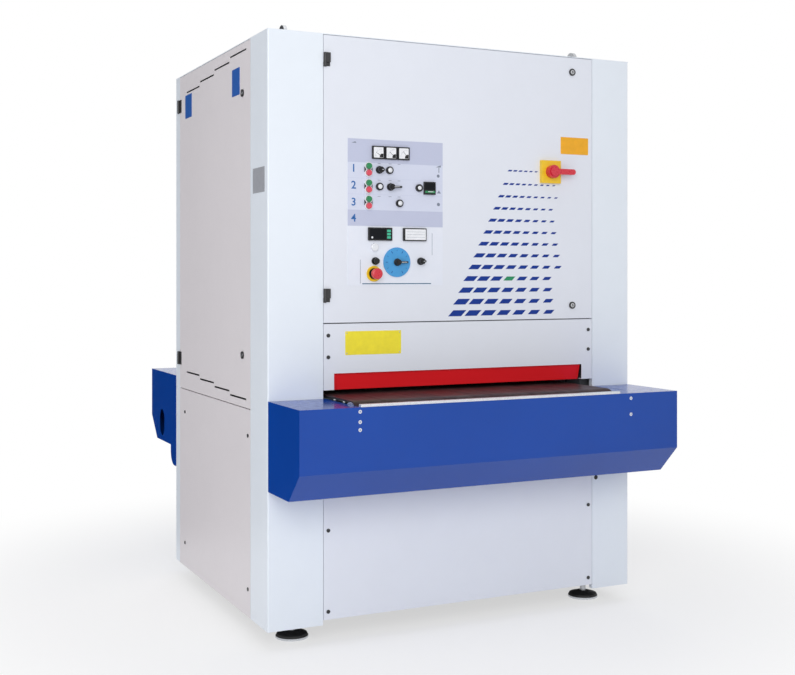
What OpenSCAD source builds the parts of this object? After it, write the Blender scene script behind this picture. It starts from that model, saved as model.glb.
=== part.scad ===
/* [Cabinet] */
// Width of the cabinet
cab_w = 1564; // [1500:1:1700]
// Depth of the cabinet
cab_d = 1229; // [1190:1:1400]
// Height of the roof above the floor
cab_top = 2214; // [2150:1:2400]
// Height of the cabinet's underside above the floor
foot_gap = 65; // [55:1:80]
// Thickness of the cover sheets
sheet_t = 2; // [1.5:0.1:3]
// Thickness of the roof sheet
roof_t = 3; // [2:0.1:5]
// Outer radius of the sheet folds
fold_r = 5; // [4:0.5:8]
// Seam between neighbouring covers
seam = 4; // [3:0.5:6]
// Depth of the return flanges behind the covers
return_w = 22; // [18:1:28]
// Width of the left front corner cover
left_col_w = 212; // [205:1:216]
// Width of the right front corner cover
right_col_w = 177; // [165:1:190]
// Depth of the front corner covers along the sides
col_side = 190; // [180:1:200]
// Width of the rear panel's strip on each side
back_strip = 65; // [55:1:80]

/* [Front and sides] */
// Gap between the belt and the panel over the passage
passage_gap = 17; // [15:1:25]
// Height of the fixed panel between the passage and the front door
fixed_panel_h = 243; // [230:1:260]
// Height of the lower front panel's bottom edge above the cabinet's underside
low_panel_lift = 18; // [0:1:30]
// Height by which the lower panels reach up behind the covers
panel_tuck = 22; // [5:1:26]
// Height of the seam under the side door
side_seam_z = 838; // [820:1:860]
// Height of a ventilation slot
slot_h = 7; // [5:0.5:10]
// Number of ventilation slots in a row
slot_count = 4; // [2:1:6]
// Bar between neighbouring ventilation slots
slot_bar = 6; // [6:1:30]
// Step from slot to slot in the upper row
slot_rise_up = 17; // [5:1:18]
// Step from slot to slot in the lower row
slot_rise_low = 14.5; // [5:0.5:18]
// Distance from the roof sheet down to the front slot of the upper row
slot_drop = 27; // [20:1:40]
// Height of the front slot of the lower row above the side seam
slot_lift = 30; // [20:1:45]
// Distance of the first slot from the door's front edge
slot_in = 50; // [40:1:60]
// Distance of the last slot from the door's back edge
slot_out = 106; // [60:1:160]

/* [Safety flap] */
// Distance of the flap's window from the door opening's left edge
flap_left_in = 43; // [38:1:80]
// Distance of the flap's window from the door opening's right edge
flap_right_in = 52; // [38:1:80]
// Height of the window that shows the flap
flap_h = 60; // [50:1:70]
// Thickness of the flap
flap_t = 3; // [2:0.5:5]
// Lean of the flap at rest, in degrees
flap_lean = 16; // [10:1:20]
// Radius of the flap's pivot rod
flap_rod_r = 4; // [3:0.5:4.5]

/* [Conveyor table] */
// Height of the belt's top above the floor
work_h = 900; // [880:1:920]
// Distance of the conveyor belt from the cabinet's left side
feed_left = 224; // [224:1:260]
// Distance of the conveyor belt from the cabinet's right side
feed_right = 264; // [258:1:300]
// Thickness of the conveyor belt
feed_t = 4; // [3:0.5:6]
// Radius of the conveyor rollers
feed_r = 60; // [50:1:65]
// Radius of the conveyor roller shafts
feed_shaft_r = 20; // [15:1:22]
// Reach of the infeed cover in front of the cabinet
in_reach = 315; // [280:1:340]
// Reach of the outfeed cover behind the cabinet
out_reach = 438; // [380:1:480]
// Drop of the covers' top below the belt
cover_drop = 13; // [10:1:18]
// Overall height of the covers
cover_h = 321; // [300:1:330]
// Height and depth of the covers' bevel
cover_bevel = 102; // [80:1:120]
// Thickness of the covers' sheet
cover_t = 3; // [2:0.5:5]
// Gap between the covers and the cabinet
cover_gap = 4; // [3:0.5:8]
// Width of the lip in front of the belt
lip_w = 23; // [15:1:30]
// Travel of the table below its upper stop
table_travel = 100; // [50:1:100]
// Height of the table's side rails
rail_h = 184; // [175:1:190]
// Thickness of the table's side rails
rail_t = 8; // [6:1:9]
// Radius of a jack screw
jack_r = 20; // [15:1:25]

/* [Belt unit] */
// Gap over the conveyor belt at rest
rest_gap = 12; // [12:1:14]
// Overhang of the abrasive belt on each side of the conveyor belt
abr_over = 7; // [0:1:7]
// Thickness of the abrasive belt
abr_t = 2; // [1:0.5:3]
// Radius of the contact roller and the tension roller
contact_r = 100; // [85:1:105]
// Distance between the contact roller and the tension roller
abr_len = 690; // [620:1:720]
// Radius of the contact roller's shaft
contact_shaft_r = 25; // [20:1:30]
// Travel of the tension yoke
yoke_travel = 20; // [10:1:24]

/* [Brush unit and hold-down rollers] */
// Radius of the brush roller
brush_r = 120; // [100:1:125]
// Radius of a hold-down roller
press_r = 30; // [25:1:32]

/* [Control plate] */
// Distance of the control plate from the cabinet's left side
plate_x = 309; // [290:1:330]
// Distance of the control plate above the front door's lower edge
plate_lift = 138; // [120:1:160]
// Width of the control plate
plate_w = 392; // [380:1:420]
// Height of the control plate
plate_h = 540; // [530:1:560]
// Thickness of the control plate
plate_t = 1.5; // [1:0.5:3]
// Radius of a push button
button_r = 11; // [9:0.5:12]
// Travel of a push button
button_travel = 3; // [2:0.5:4]
// Radius of the speed dial
dial_r = 55; // [48:1:56]
// Radius of the emergency stop's mushroom head
stop_r = 20; // [18:1:22]

/* [Main switch] */
// Distance of the main switch from the front door's right edge
switch_in = 205; // [190:1:240]
// Distance of the main switch above the front door's lower edge
switch_lift = 586; // [540:1:600]
// Side of the main switch's plate
switch_w = 90; // [80:1:95]
// Length of the main switch's lever from its axis
lever_len = 97; // [80:1:110]

/* [Feet and roof] */
// Radius of a foot's pad
foot_r = 60; // [50:1:65]
// Distance of the feet from the sides
foot_x = 138; // [134:1:146]
// Distance of the feet from the front and the back
foot_y = 124; // [120:1:130]
// Radius of a foot's stem
stem_r = 12; // [10:0.5:16]
// Distance of the lifting eyes from the sides
eye_x = 135; // [130:1:140]
// Distance of the lifting eyes from the front and the back
eye_y = 211; // [200:1:230]
// Bore radius of a lifting eye
eye_bore_r = 17.5; // [14:0.5:19]
// Outer radius of a suction spigot
spigot_r = 75; // [60:1:80]
// Height of a suction spigot
spigot_h = 66; // [60:1:100]

/* [Hidden] */
$fn = 64;

// Clearances
fit = 0.05;
split = 0.3;
over = 1;
hang = 2;

// Levels and middles shared by many pieces
mid_y = (cab_d + out_reach - in_reach) / 2;
half_w = cab_w / 2;
under_roof = cab_top - roof_t;
door_left = left_col_w - half_w;
door_right = half_w - right_col_w;
passage_top = work_h + passage_gap;
door_bottom = passage_top + fixed_panel_h;
cover_top = work_h - cover_drop;
cover_low = cover_top - cover_h;
low_panel_top = cover_low + panel_tuck;
feed_w = cab_w - feed_left - feed_right;
feed_x = (feed_left - feed_right) / 2;
abr_w = feed_w + 2 * abr_over;
belt_half = feed_w / 2;
belt_low = work_h - feed_t;
contact_z = work_h + rest_gap + abr_t + split + contact_r;
tension_z = contact_z + abr_len;

// Frame
post_w = 100;
post_wall = 5;
tube_w = 60;
tube_h = 80;
tube_wall = 4;
foot_plate_t = 12;
front_beam_lift = 110;
rear_beam_lift = 200;
right_beam_lift = 340;
front_beam_z = work_h + front_beam_lift;
rear_beam_z = work_h + rear_beam_lift;
right_beam_z = work_h + right_beam_lift;
latch_y = return_w + sheet_t + hang;
latch_t = 3;
latch_h = 24;
post_x = half_w - foot_x;
post_back = cab_d - foot_y;

// Table
idler_y = -in_reach + lip_w + cover_t + hang + feed_t + split + feed_r;
drive_y = cab_d + out_reach - (idler_y + in_reach);
roller_z = belt_low - split - feed_r;
rail_in = belt_half + hang;
rail_top = cover_top - cover_t;
rail_low = rail_top - rail_h;
bed_t = 10;
bed_half = belt_half - return_w;
tie_h = 100;
tie_w = 50;
tie_count = 4;
bearing_r = 42;
bearing_l = 25;
jack_beam_w = 80;
jack_beam_h = 60;
jack_side_in = 108;
jack_end_in = 126;
jack_x = belt_half - jack_side_in;
jack_front = foot_y + jack_end_in;
jack_back = post_back - jack_end_in;
jack_box_w = 120;
jack_box_h = 110;
jack_low = foot_gap + tube_h - hang;

// Walls, end discs and the discs' holes of the hollow rollers
drum_wall = 10;
disc_t = 15;
hole_share = 0.3;

function total(v, i = 0) = i < len(v) ? v[i] + total(v, i + 1) : 0;

// Free depth between the front and the rear beam, and the shares of it that the gaps in between get
hood_d = 52;
rail_front = foot_y + tube_w / 2;
rail_back = post_back - tube_w / 2;
units_d = 4 * press_r + 2 * contact_r + 2 * abr_t + 2 * brush_r + 2 * hood_d;
gap_shares = [56, 58, 13, 18, 55, 20, 33];
part_gap = (rail_back - rail_front - units_d) / total(gap_shares);

// Depths of the rollers and hoods, from the front to the back
press1_y = rail_front + gap_shares[0] * part_gap + press_r;
abr_y = press1_y + press_r + gap_shares[1] * part_gap + contact_r + abr_t;
hood1_y = abr_y + contact_r + abr_t + gap_shares[2] * part_gap;
press2_y = hood1_y + hood_d + gap_shares[3] * part_gap + press_r;
brush_y = press2_y + press_r + gap_shares[4] * part_gap + brush_r;
hood2_y = brush_y + brush_r + gap_shares[5] * part_gap;

// Belt and brush units
arm_t = 20;
abr_half = abr_w / 2;
contact_half = abr_half + hang;
arm_in = abr_half + arm_t / 2;
wall_front = abr_y - contact_r - arm_t;
wall_back = rail_back;
wall_low = work_h + rest_gap + split;
arm_w = 120;
beam_w = 100;
beam_wall = 8;
beam_lift = 236;
beam_h = 200;
beam_low = contact_z + beam_lift;
beam_high = beam_low + beam_h;
yoke_h = 50;
yoke_w = 60;
yoke_top = tension_z - contact_r - yoke_travel;
yoke_low = yoke_top - yoke_h;
yoke_arm_t = 15;
yoke_in = abr_half - yoke_arm_t - hang;
rod_r = 15;
rod_in = 228;
rod_x = yoke_in - rod_in;
cylinder_r = 30;
tension_shaft_r = 20;
press_in = 18;
press_half = belt_half - press_in;
press_shaft_r = 12;
press_arm_t = 15;
press_z = work_h + rest_gap - split + press_r;
brush_z = work_h + rest_gap + brush_r;
brush_in = 8;
brush_half = belt_half - brush_in;
brush_core_r = 70;
brush_shaft_r = 25;

// Motors and the drive belt
motor_rise = 585.7;
motor_y = brush_y - arm_t;
motor_z = contact_z + motor_rise;
motor_r = 125;
motor_l = 400;
flange_r = 150;
flange_t = 15;
motor_shaft_r = 24;
shaft_hole_r = 40;
brush_motor_r = 85;
brush_motor_l = 185;
wall_top = motor_z + flange_r + arm_t;
pulley_in = arm_in + arm_t + arm_t / 2;
pulley_w = 38;
contact_pulley_r = 80;
motor_pulley_r = 95;
vbelt_t = 8;
vbelt_w = 30;

// Suction
duct_t = 2;
hood_in = 45;
hood_lift = 65;
hood_h = 335;
hood_neck = 100;
riser_in = 190;
hood_half = abr_half - hood_in;
hood_low = work_h + hood_lift;
hood_top = hood_low + hood_h;
riser_x = feed_x - hood_half + riser_in;
riser1_y = hood1_y + spigot_r + arm_t;
riser2_y = rail_back - spigot_r - 2 * hang;

// Locks, hinges and screws
lock_r = 14;
lock_proud = 5;
lock_shaft_r = 8;
front_cam = 38;
side_cam = 88;
cam_t = 4;
cam_w = 16;
lock_in = 98;
lock_top_in = 60;
lock_low_in = 55;
side_lock_in = 90;
side_lock_drop = 193;
side_lock_lift = 197;
side_lock_top_z = cab_top - side_lock_drop;
side_lock_low_z = side_seam_z + side_lock_lift;
hinge_r = 6;
hinge_pin_r = 3;
front_leaf_w = 26;
front_leaf_h = 49;
front_foot_h = 14;
front_hinge_drop = 94;
front_hinge_lift = 102;
side_leaf_w = 27;
side_leaf_h = 56;
side_hinge_drop = 133;
side_hinge_lift = 132;
leaf_t = 3;
front_axis_x = door_left + hinge_r;
front_axis_y = -hinge_r;
side_axis_x = -half_w - hinge_r;
side_axis_y = cab_d - back_strip;
screw_r = 7;
screw_head = 2.5;
screw_shank_r = 3;
screw_len = 30;
tab_h = 24;
tab_t = 3;
screw_in = 20;
low_screw_lift = 47;
low_screw_rise = 295;
fixed_screw_drop = 44;
fixed_screw_pitch = 79;
rear_screw_lift = 100;
side_screw_front = 29;
side_screw_back = 85;
side_screw_lift = 103;
side_screw_drop = 99;
high_screw_lift = 102;
high_screw_drop = 110;

// The side hinges reach further out than the side screws, so the whole part is a little off the cabinet's middle
mid_x = screw_head / 2 - hinge_r;

// Places on the control plate, as shares of its width and its height
row_share = [0.7926, 0.6778, 0.5667];
pair_share = 0.2066;
meter_share = [0.4388, 0.9111];
display_share = [[0.3265, 0.3519], [0.6913, 0.3519]];
device_share = [0.852, 0.6778];
lamp_share = [[0.426, 0.7926], [0.3214, 0.6778], [0.5306, 0.5667], [0.7398, 0.6778], [0.2704, 0.2611]];
selector_share = [[0.3214, 0.7926], [0.4362, 0.6778], [0.7577, 0.1667]];
stop_place_share = [0.2653, 0.0796];
reset_share = [0.2781, 0.1667];
dial_share = [0.5051, 0.1593];

function on_plate_at(share) = [share[0] * plate_w, share[1] * plate_h];

plate_z = door_bottom + plate_lift;
row_z = row_share * plate_h;
pair_x = pair_share * plate_w;
lamps = [for (p = lamp_share) on_plate_at(p)];
selector_at = [for (p = selector_share) on_plate_at(p)];
stop_at = on_plate_at(stop_place_share);
reset_at = on_plate_at(reset_share);
dial_at = on_plate_at(dial_share);
pair_dz = 12.5;
pair_r = 15;
meter_w = 48;
meter_d = 9;
meter_pitch = 52;
display_w = 96;
lamp_r = 14;
lamp_d = 9;
stop_base_r = 29;
stop_base_d = 4;
dial_t = 4;
selector_r = 14;
selector_head = 16;
knob_r = 11;
knob_len = 38;
stem = 6;
block_r = 13;
block_len = 42;

// Flap, cable gland and lifting eyes
flap_y = flap_rod_r + sheet_t + over;
flap_len = 75;
flap_w = door_right - door_left - flap_left_in - flap_right_in;
flap_x = door_left + flap_left_in;
flap_z = passage_top - over + flap_len * cos(flap_lean);
gland_in = 250;
gland_lift = 260;
gland_x = half_w - gland_in;
gland_z = foot_gap + gland_lift;
gland_hole_r = 16;
gland_bore_r = 12.5;
gland_flange_r = 24;
gland_flange_t = 6;
gland_len = 30;
eye_stem_r = 8;
eye_stem_len = 30;
eye_ring_r = 30;
eye_ring_w = 14;
eye_foot_r = 18;
eye_foot_h = 5;

// Heights and depths of buttons and knobs
button_frame_d = 7;
button_front = 13;
stop_front = 36;
stop_head = 14;
stop_share = 0.6;

// Feet
pad_edge = 8;
pad_h = 26;
foot_neck_r = 24;
nut_r = 20;
nut_h = 14;

// Locks, the covers' cuts and the table's motor
cam_back = latch_y + latch_t + over;
side_slit = 94;
guard_w = 88;
guard_r = 60;
guard_drop = 87;
hand_y = 249;
hand_lift = 84;
hand_z = cover_low + hand_lift;
hand_w = 90;
hand_h = 122;
gear_w = 92;
gear_l = 130;
lift_tube_r = 18;
lift_motor_r = 60;
lift_motor_l = 200;

// Distance of the electrical plate behind the front rails' middle
gear_gap = 90;

// Rows of electrical devices: how many, their depth, and as shares of the plate the row's width, place and height
gear_counts = [4, 9, 14];
gear_depths = [110, 80, 60];
gear_row_shares = [[0.66, 0.61, 0.273], [0.7, 0.36, 0.098], [0.77, 0.131, 0.076]];

// Main switch
switch_x = door_right - switch_in;
switch_z = door_bottom + switch_lift;
lever_share = 0.7;
switch_base_d = 13;
switch_face_t = 1.5;
hub_r = 26;
hub_d = 22;
lever_w = 22;
lever_t = 18;
switch_shaft_r = 6;
isolator_w = 70;
isolator_d = 60;

// A block between two opposite corners
module block(lo, hi) {
  translate(lo)
    cube(hi - lo);
}

module rod_x(x, y, z, r, len) {
  translate([x, y, z])
    rotate([0, 90, 0])
      cylinder(r = r, h = len);
}

module rod_y(x, y, z, r, len) {
  translate([x, y, z])
    rotate([-90, 0, 0])
      cylinder(r = r, h = len);
}

module rod_z(x, y, z, r, len) {
  translate([x, y, z])
    cylinder(r = r, h = len);
}

// Places children, drawn from the front face's middle at the floor, in the part's frame
module machine() {
  translate([-mid_x, -mid_y, 0])
    children();
}

// Hollow roller with end discs that have holes in them, on a shaft of the given radius
module drum(x, y, z, r, len, wall, shaft_r) {
  mid = (r - wall + shaft_r) / 2;
  difference() {
    rod_x(x, y, z, r, len);
    rod_x(x + disc_t, y, z, r - wall, len - 2 * disc_t);
    for (a = [0:90:270])
      rod_x(x - over, y + mid * cos(a), z + mid * sin(a), hole_share * (r - wall - shaft_r), len + 2 * over);
  }
}

// Hollow box section between two opposite corners, open along one axis (0 is X, 1 is Y, 2 is Z)
module tube(lo, hi, wall, along) {
  skin = [for (i = [0:2]) i == along ? -over : wall];
  difference() {
    block(lo, hi);
    block(lo + skin, hi - skin);
  }
}

// Rectangle with one rounded corner at its origin
module fold_square(w, d, r) {
  translate([r, r])
    circle(r);
  translate([r, 0])
    square([w - r, d]);
  translate([0, r])
    square([w, d - r]);
}

// Plan of a folded corner cover with a return at each end
module corner_plan(w, d) {
  difference() {
    fold_square(w, d, fold_r);
    translate([sheet_t, sheet_t])
      fold_square(w - 2 * sheet_t, d - 2 * sheet_t, fold_r - sheet_t);
    translate([return_w, return_w])
      square([w, d]);
  }
}

// Two corner covers on the front, each reaching along its side to the given depth
module corner_pair(d) {
  translate([-half_w, 0, foot_gap])
    linear_extrude(under_roof - foot_gap)
      corner_plan(left_col_w, d);
  translate([half_w, 0, foot_gap])
    mirror([1, 0, 0])
      linear_extrude(under_roof - foot_gap)
        corner_plan(right_col_w, d);
}

// Flat pan with return flanges on its four sides, front face at Y = 0, behind it the flanges
module pan(x0, x1, z0, z1) {
  difference() {
    block([x0, 0, z0], [x1, return_w, z1]);
    block([x0 + sheet_t, sheet_t, z0 + sheet_t], [x1 - sheet_t, return_w + over, z1 - sheet_t]);
  }
}

// The same pan on the left side of the cabinet, outer face at the side, drawn from y0 to y1
module side_pan(y0, y1, z0, z1) {
  translate([-half_w, 0, 0])
    difference() {
      block([0, y0, z0], [return_w, y1, z1]);
      block([sheet_t, y0 + sheet_t, z0 + sheet_t], [return_w + over, y1 - sheet_t, z1 - sheet_t]);
    }
}

module four_feet() {
  for (x = [-post_x, post_x], y = [foot_y, post_back])
    translate([x, y, 0])
      children();
}

module four_eyes() {
  for (x = [-1, 1] * (half_w - eye_x), y = [eye_y, cab_d - eye_y])
    translate([x, y, 0])
      children();
}

module four_jacks() {
  for (x = [feed_x - jack_x, feed_x + jack_x], y = [jack_front, jack_back])
    translate([x, y, 0])
      children();
}

// Screws of the front and the rear panels, as x and z, and of each side's panels, as y and z
low_screw_z = [foot_gap + low_screw_lift, foot_gap + low_screw_lift + low_screw_rise];
fixed_screw_z = [door_bottom - fixed_screw_drop - fixed_screw_pitch, door_bottom - fixed_screw_drop];
rear_screw_z = [passage_top + rear_screw_lift, cab_top - high_screw_drop];
panel_screw_x = [door_left + screw_in, door_right - screw_in];
front_screws = [for (x = panel_screw_x, z = concat(low_screw_z, fixed_screw_z)) [x, z]];
rear_screws = [for (x = panel_screw_x, z = concat(low_screw_z, rear_screw_z)) [x, z]];
side_low_z = [foot_gap + side_screw_lift, side_seam_z - side_screw_drop];
side_high_z = [side_seam_z + high_screw_lift, cab_top - high_screw_drop];
side_screw_y = [col_side + side_screw_front, cab_d - back_strip - side_screw_back];
left_screws = [for (y = side_screw_y, z = side_low_z) [y, z]];
right_screws = [for (y = side_screw_y, z = concat(side_low_z, side_high_z)) [y, z]];

module front_screw_rods(r, y, len) {
  for (p = front_screws)
    rod_y(p[0], y, p[1], r, len);
}

module rear_screw_rods(r, out, len) {
  for (p = rear_screws)
    rod_y(p[0], cab_d + out - len, p[1], r, len);
}

module side_screw_rods(r, out, len) {
  for (p = left_screws)
    rod_x(-half_w - out, p[0], p[1], r, len);
  for (p = right_screws)
    rod_x(half_w + out - len, p[0], p[1], r, len);
}

// Bolted frame of box sections; each member is a piece of its own
module machine_frame() machine() color("dimgray") {
  half = post_w / 2;
  side = tube_w / 2;
  reach = post_x - half - split;
  front = foot_y + half + split;
  back = post_back - half - split;
  difference() {
    union() {
      four_feet() {
        tube([-half, -half, foot_gap], [half, half, under_roof], post_wall, 2);
        block([-half, -half, foot_gap], [half, half, foot_gap + foot_plate_t]);
      }
      // Base and top rails across the machine, and the beams of the rollers
      for (p = [[foot_y, foot_gap], [foot_y, under_roof - tube_h], [foot_y, front_beam_z],
                [post_back, foot_gap], [post_back, under_roof - tube_h], [post_back, rear_beam_z]])
        tube([-reach, p[0] - side, p[1]], [reach, p[0] + side, p[1] + tube_h], tube_wall, 0);
      // Base and top rails along the sides, and the beam that carries the unit wall
      for (p = [[-post_x, foot_gap], [-post_x, under_roof - tube_h], [post_x, foot_gap],
                [post_x, under_roof - tube_h], [post_x, right_beam_z]])
        tube([p[0] - side, front, p[1]], [p[0] + side, back, p[1] + tube_h], tube_wall, 1);
      // Beams under the jacks
      for (y = [jack_front, jack_back])
        tube([-post_x + side + split, y - jack_beam_w / 2, foot_gap],
             [post_x - side - split, y + jack_beam_w / 2, foot_gap + tube_h], tube_wall, 0);
      // Strips that the front door's locks hold behind, on the top rail and between the posts
      block([-reach, latch_y, under_roof - latch_h], [reach, latch_y + latch_t, under_roof]);
      for (x = [-side, side - reach, reach - side])
        block([x, latch_y, under_roof - latch_h], [x + latch_t, foot_y - side - split, under_roof]);
      block([-reach - half, latch_y, door_bottom - latch_h / 2], [reach + half, latch_y + latch_t, door_bottom + latch_h]);
      for (x = [-reach - half, reach + half - latch_t])
        block([x, latch_y, door_bottom - latch_h / 2], [x + latch_t, foot_y - half - split, door_bottom + latch_h]);
      // Strip that the side door's locks hold behind
      translate([-half_w + latch_y, front, side_seam_z + tube_wall]) {
        cube([latch_t, return_w + col_side - front, under_roof - tube_h - side_seam_z - tube_wall]);
        cube([post_w - latch_y, latch_t, under_roof - tube_h - side_seam_z - tube_wall]);
      }
    }
    four_feet()
      cylinder(r = stem_r + fit, h = foot_gap + foot_plate_t + over);
    four_eyes()
      translate([0, 0, under_roof - tube_h / 2])
        cylinder(r = eye_stem_r + fit, h = tube_h);
    four_jacks()
      cylinder(r = jack_r + hang, h = foot_gap + tube_h + over);
  }
}

// Tabs on the corner covers of the front, behind the panels between them, at the given screws. They stand back
// from the panels by the gap.
module column_tabs(screws, gap) {
  back = return_w + gap + tab_t;
  for (p = screws) {
    edge = p[0] < 0 ? door_left : door_right;
    flange = edge + sign(p[0]) * sheet_t;
    tip = p[0] - sign(p[0]) * screw_r;
    block([min(flange, tip), return_w + gap, p[1] - tab_h / 2], [max(flange, tip), back, p[1] + tab_h / 2]);
    block([min(flange, edge), return_w - over, p[1] - tab_h / 2], [max(flange, edge), back, p[1] + tab_h / 2]);
  }
}

// Tabs on a left corner cover behind the side panels, at the screws at depth y. The cover ends at the edge, and
// lies on its side s.
module side_tabs(screws, y, edge, s) {
  flange = edge + s * sheet_t;
  tip = y - s * screw_r;
  translate([-half_w, 0, 0])
    for (p = screws)
      if (p[0] == y) {
        block([return_w, min(flange, tip), p[1] - tab_h / 2],
              [return_w + tab_t, max(flange, tip), p[1] + tab_h / 2]);
        block([return_w - over, min(flange, edge), p[1] - tab_h / 2],
              [return_w + tab_t, max(flange, edge), p[1] + tab_h / 2]);
      }
}

module corner_covers() machine() color("whitesmoke")
  difference() {
    union() {
      corner_pair(col_side);
      column_tabs(front_screws, 0);
      side_tabs(left_screws, side_screw_y[0], col_side, -1);
      mirror([1, 0, 0])
        side_tabs(right_screws, side_screw_y[0], col_side, -1);
    }
    front_screw_rods(screw_shank_r + fit, -over, screw_len + return_w);
    side_screw_rods(screw_shank_r + fit, over, screw_len + return_w);
  }

// The rear corner covers, and the rear panels above and below the passage
module rear_covers() machine() color("whitesmoke")
  difference() {
    union() {
      translate([0, cab_d, 0])
        mirror([0, 1, 0]) {
          corner_pair(back_strip);
          column_tabs(rear_screws, split);
          pan(door_left + seam / 2, door_right - seam / 2, passage_top, under_roof - seam / 2);
          pan(door_left + seam / 2, door_right - seam / 2, foot_gap + low_panel_lift, low_panel_top);
        }
      side_tabs(left_screws, side_screw_y[1], side_axis_y, 1);
      mirror([1, 0, 0])
        side_tabs(right_screws, side_screw_y[1], side_axis_y, 1);
    }
    rear_screw_rods(screw_shank_r + fit, over, screw_len + return_w);
    side_screw_rods(screw_shank_r + fit, over, screw_len + return_w);
    rod_y(gland_x, cab_d - back_strip, gland_z, gland_hole_r, back_strip + over);
  }

module roof_panel() machine() color("whitesmoke")
  difference() {
    union() {
      block([-half_w, 0, under_roof], [half_w, cab_d, cab_top]);
      for (y = [riser1_y, riser2_y])
        rod_z(riser_x, y, under_roof, spigot_r, roof_t + spigot_h);
    }
    for (y = [riser1_y, riser2_y])
      rod_z(riser_x, y, under_roof - over, spigot_r - duct_t, roof_t + spigot_h + 2 * over);
    four_eyes()
      translate([0, 0, under_roof - over])
        cylinder(r = eye_stem_r + fit, h = roof_t + 2 * over);
  }

module front_panels() machine() color("whitesmoke") {
  x0 = door_left + seam / 2;
  x1 = door_right - seam / 2;
  lug = flap_rod_r + 3 * fit + 2 * sheet_t;
  difference() {
    union() {
      pan(x0, x1, passage_top, door_bottom - seam / 2);
      for (x = [flap_x - sheet_t - lug, flap_x + flap_w + sheet_t])
        block([x, sheet_t, flap_z - lug], [x + lug, flap_y + lug, flap_z + lug]);
    }
    block([flap_x, -over, passage_top - over], [flap_x + flap_w, return_w + over, passage_top + flap_h]);
    rod_x(flap_x - return_w, flap_y, flap_z, flap_rod_r + fit, flap_w + 2 * return_w);
    front_screw_rods(screw_shank_r + fit, -over, return_w);
  }
  difference() {
    pan(x0, x1, foot_gap + low_panel_lift, low_panel_top);
    front_screw_rods(screw_shank_r + fit, -over, return_w);
  }
}

// Ventilation slots in the side door and in the panel opposite it
slot_pitch = (side_axis_y - col_side - slot_in - slot_out + slot_bar) / slot_count;
slot_len = slot_pitch - slot_bar;

module side_slots() {
  for (i = [0:slot_count - 1])
    for (row = [[under_roof - slot_drop - slot_h, slot_rise_up], [side_seam_z + slot_lift, -slot_rise_low]])
      translate([-half_w - over, col_side + slot_in + i * slot_pitch, row[0] - i * row[1]])
        cube([sheet_t + 2 * over, slot_len, slot_h]);
}

module side_panels() machine() color("gainsboro")
  difference() {
    union() {
      y0 = col_side + seam / 2;
      y1 = cab_d - back_strip - seam / 2;
      for (s = [0, 1])
        mirror([s, 0, 0])
          side_pan(y0, y1, foot_gap, side_seam_z - seam / 2);
      difference() {
        mirror([1, 0, 0])
          side_pan(y0, y1, side_seam_z + seam / 2, under_roof);
        mirror([1, 0, 0])
          side_slots();
      }
    }
    side_screw_rods(screw_shank_r + fit, over, return_w);
  }

module lifting_eyes() machine() color("silver")
  four_eyes() {
    ring_z = cab_top + eye_foot_h + eye_ring_r - 2 * sheet_t;
    rod_z(0, 0, cab_top, eye_foot_r, eye_foot_h);
    rod_z(0, 0, cab_top - eye_stem_len, eye_stem_r, eye_stem_len + over);
    difference() {
      rod_x(-eye_ring_w / 2, 0, ring_z, eye_ring_r, eye_ring_w);
      rod_x(-eye_ring_w, 0, ring_z, eye_bore_r, 2 * eye_ring_w);
    }
  }

module foot_pads() machine() color("black")
  four_feet()
    rotate_extrude()
      polygon([
        [0, 0], [foot_r, 0], [foot_r, pad_edge], [foot_r - pad_edge / 2, 2 * pad_edge],
        [foot_neck_r, pad_h], [stem_r + fit, pad_h], [stem_r + fit, pad_edge], [0, pad_edge]
      ]);

module foot_stems() machine() color("silver")
  four_feet() {
    rod_z(0, 0, pad_edge, stem_r, foot_gap + foot_plate_t - pad_edge + stem_r);
    translate([0, 0, foot_gap - nut_h])
      cylinder(r = nut_r, h = nut_h, $fn = 6);
  }

module panel_screws() machine() color("#333333") {
  front_screw_rods(screw_r, -screw_head, screw_head);
  front_screw_rods(screw_shank_r, -over, screw_len);
  rear_screw_rods(screw_r, screw_head, screw_head);
  rear_screw_rods(screw_shank_r, over, screw_len);
  side_screw_rods(screw_r, screw_head, screw_head);
  side_screw_rods(screw_shank_r, over, screw_len);
}

module cable_gland() machine() color("black")
  difference() {
    union() {
      rod_y(gland_x, cab_d, gland_z, gland_flange_r, gland_flange_t);
      rod_y(gland_x, cab_d, gland_z, gland_flange_r - 2 * sheet_t, gland_len);
      rod_y(gland_x, cab_d - gland_flange_t, gland_z, gland_hole_r - fit, gland_flange_t + over);
    }
    rod_y(gland_x, cab_d - 2 * gland_flange_t, gland_z, gland_bore_r, gland_len + 3 * gland_flange_t);
  }

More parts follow.
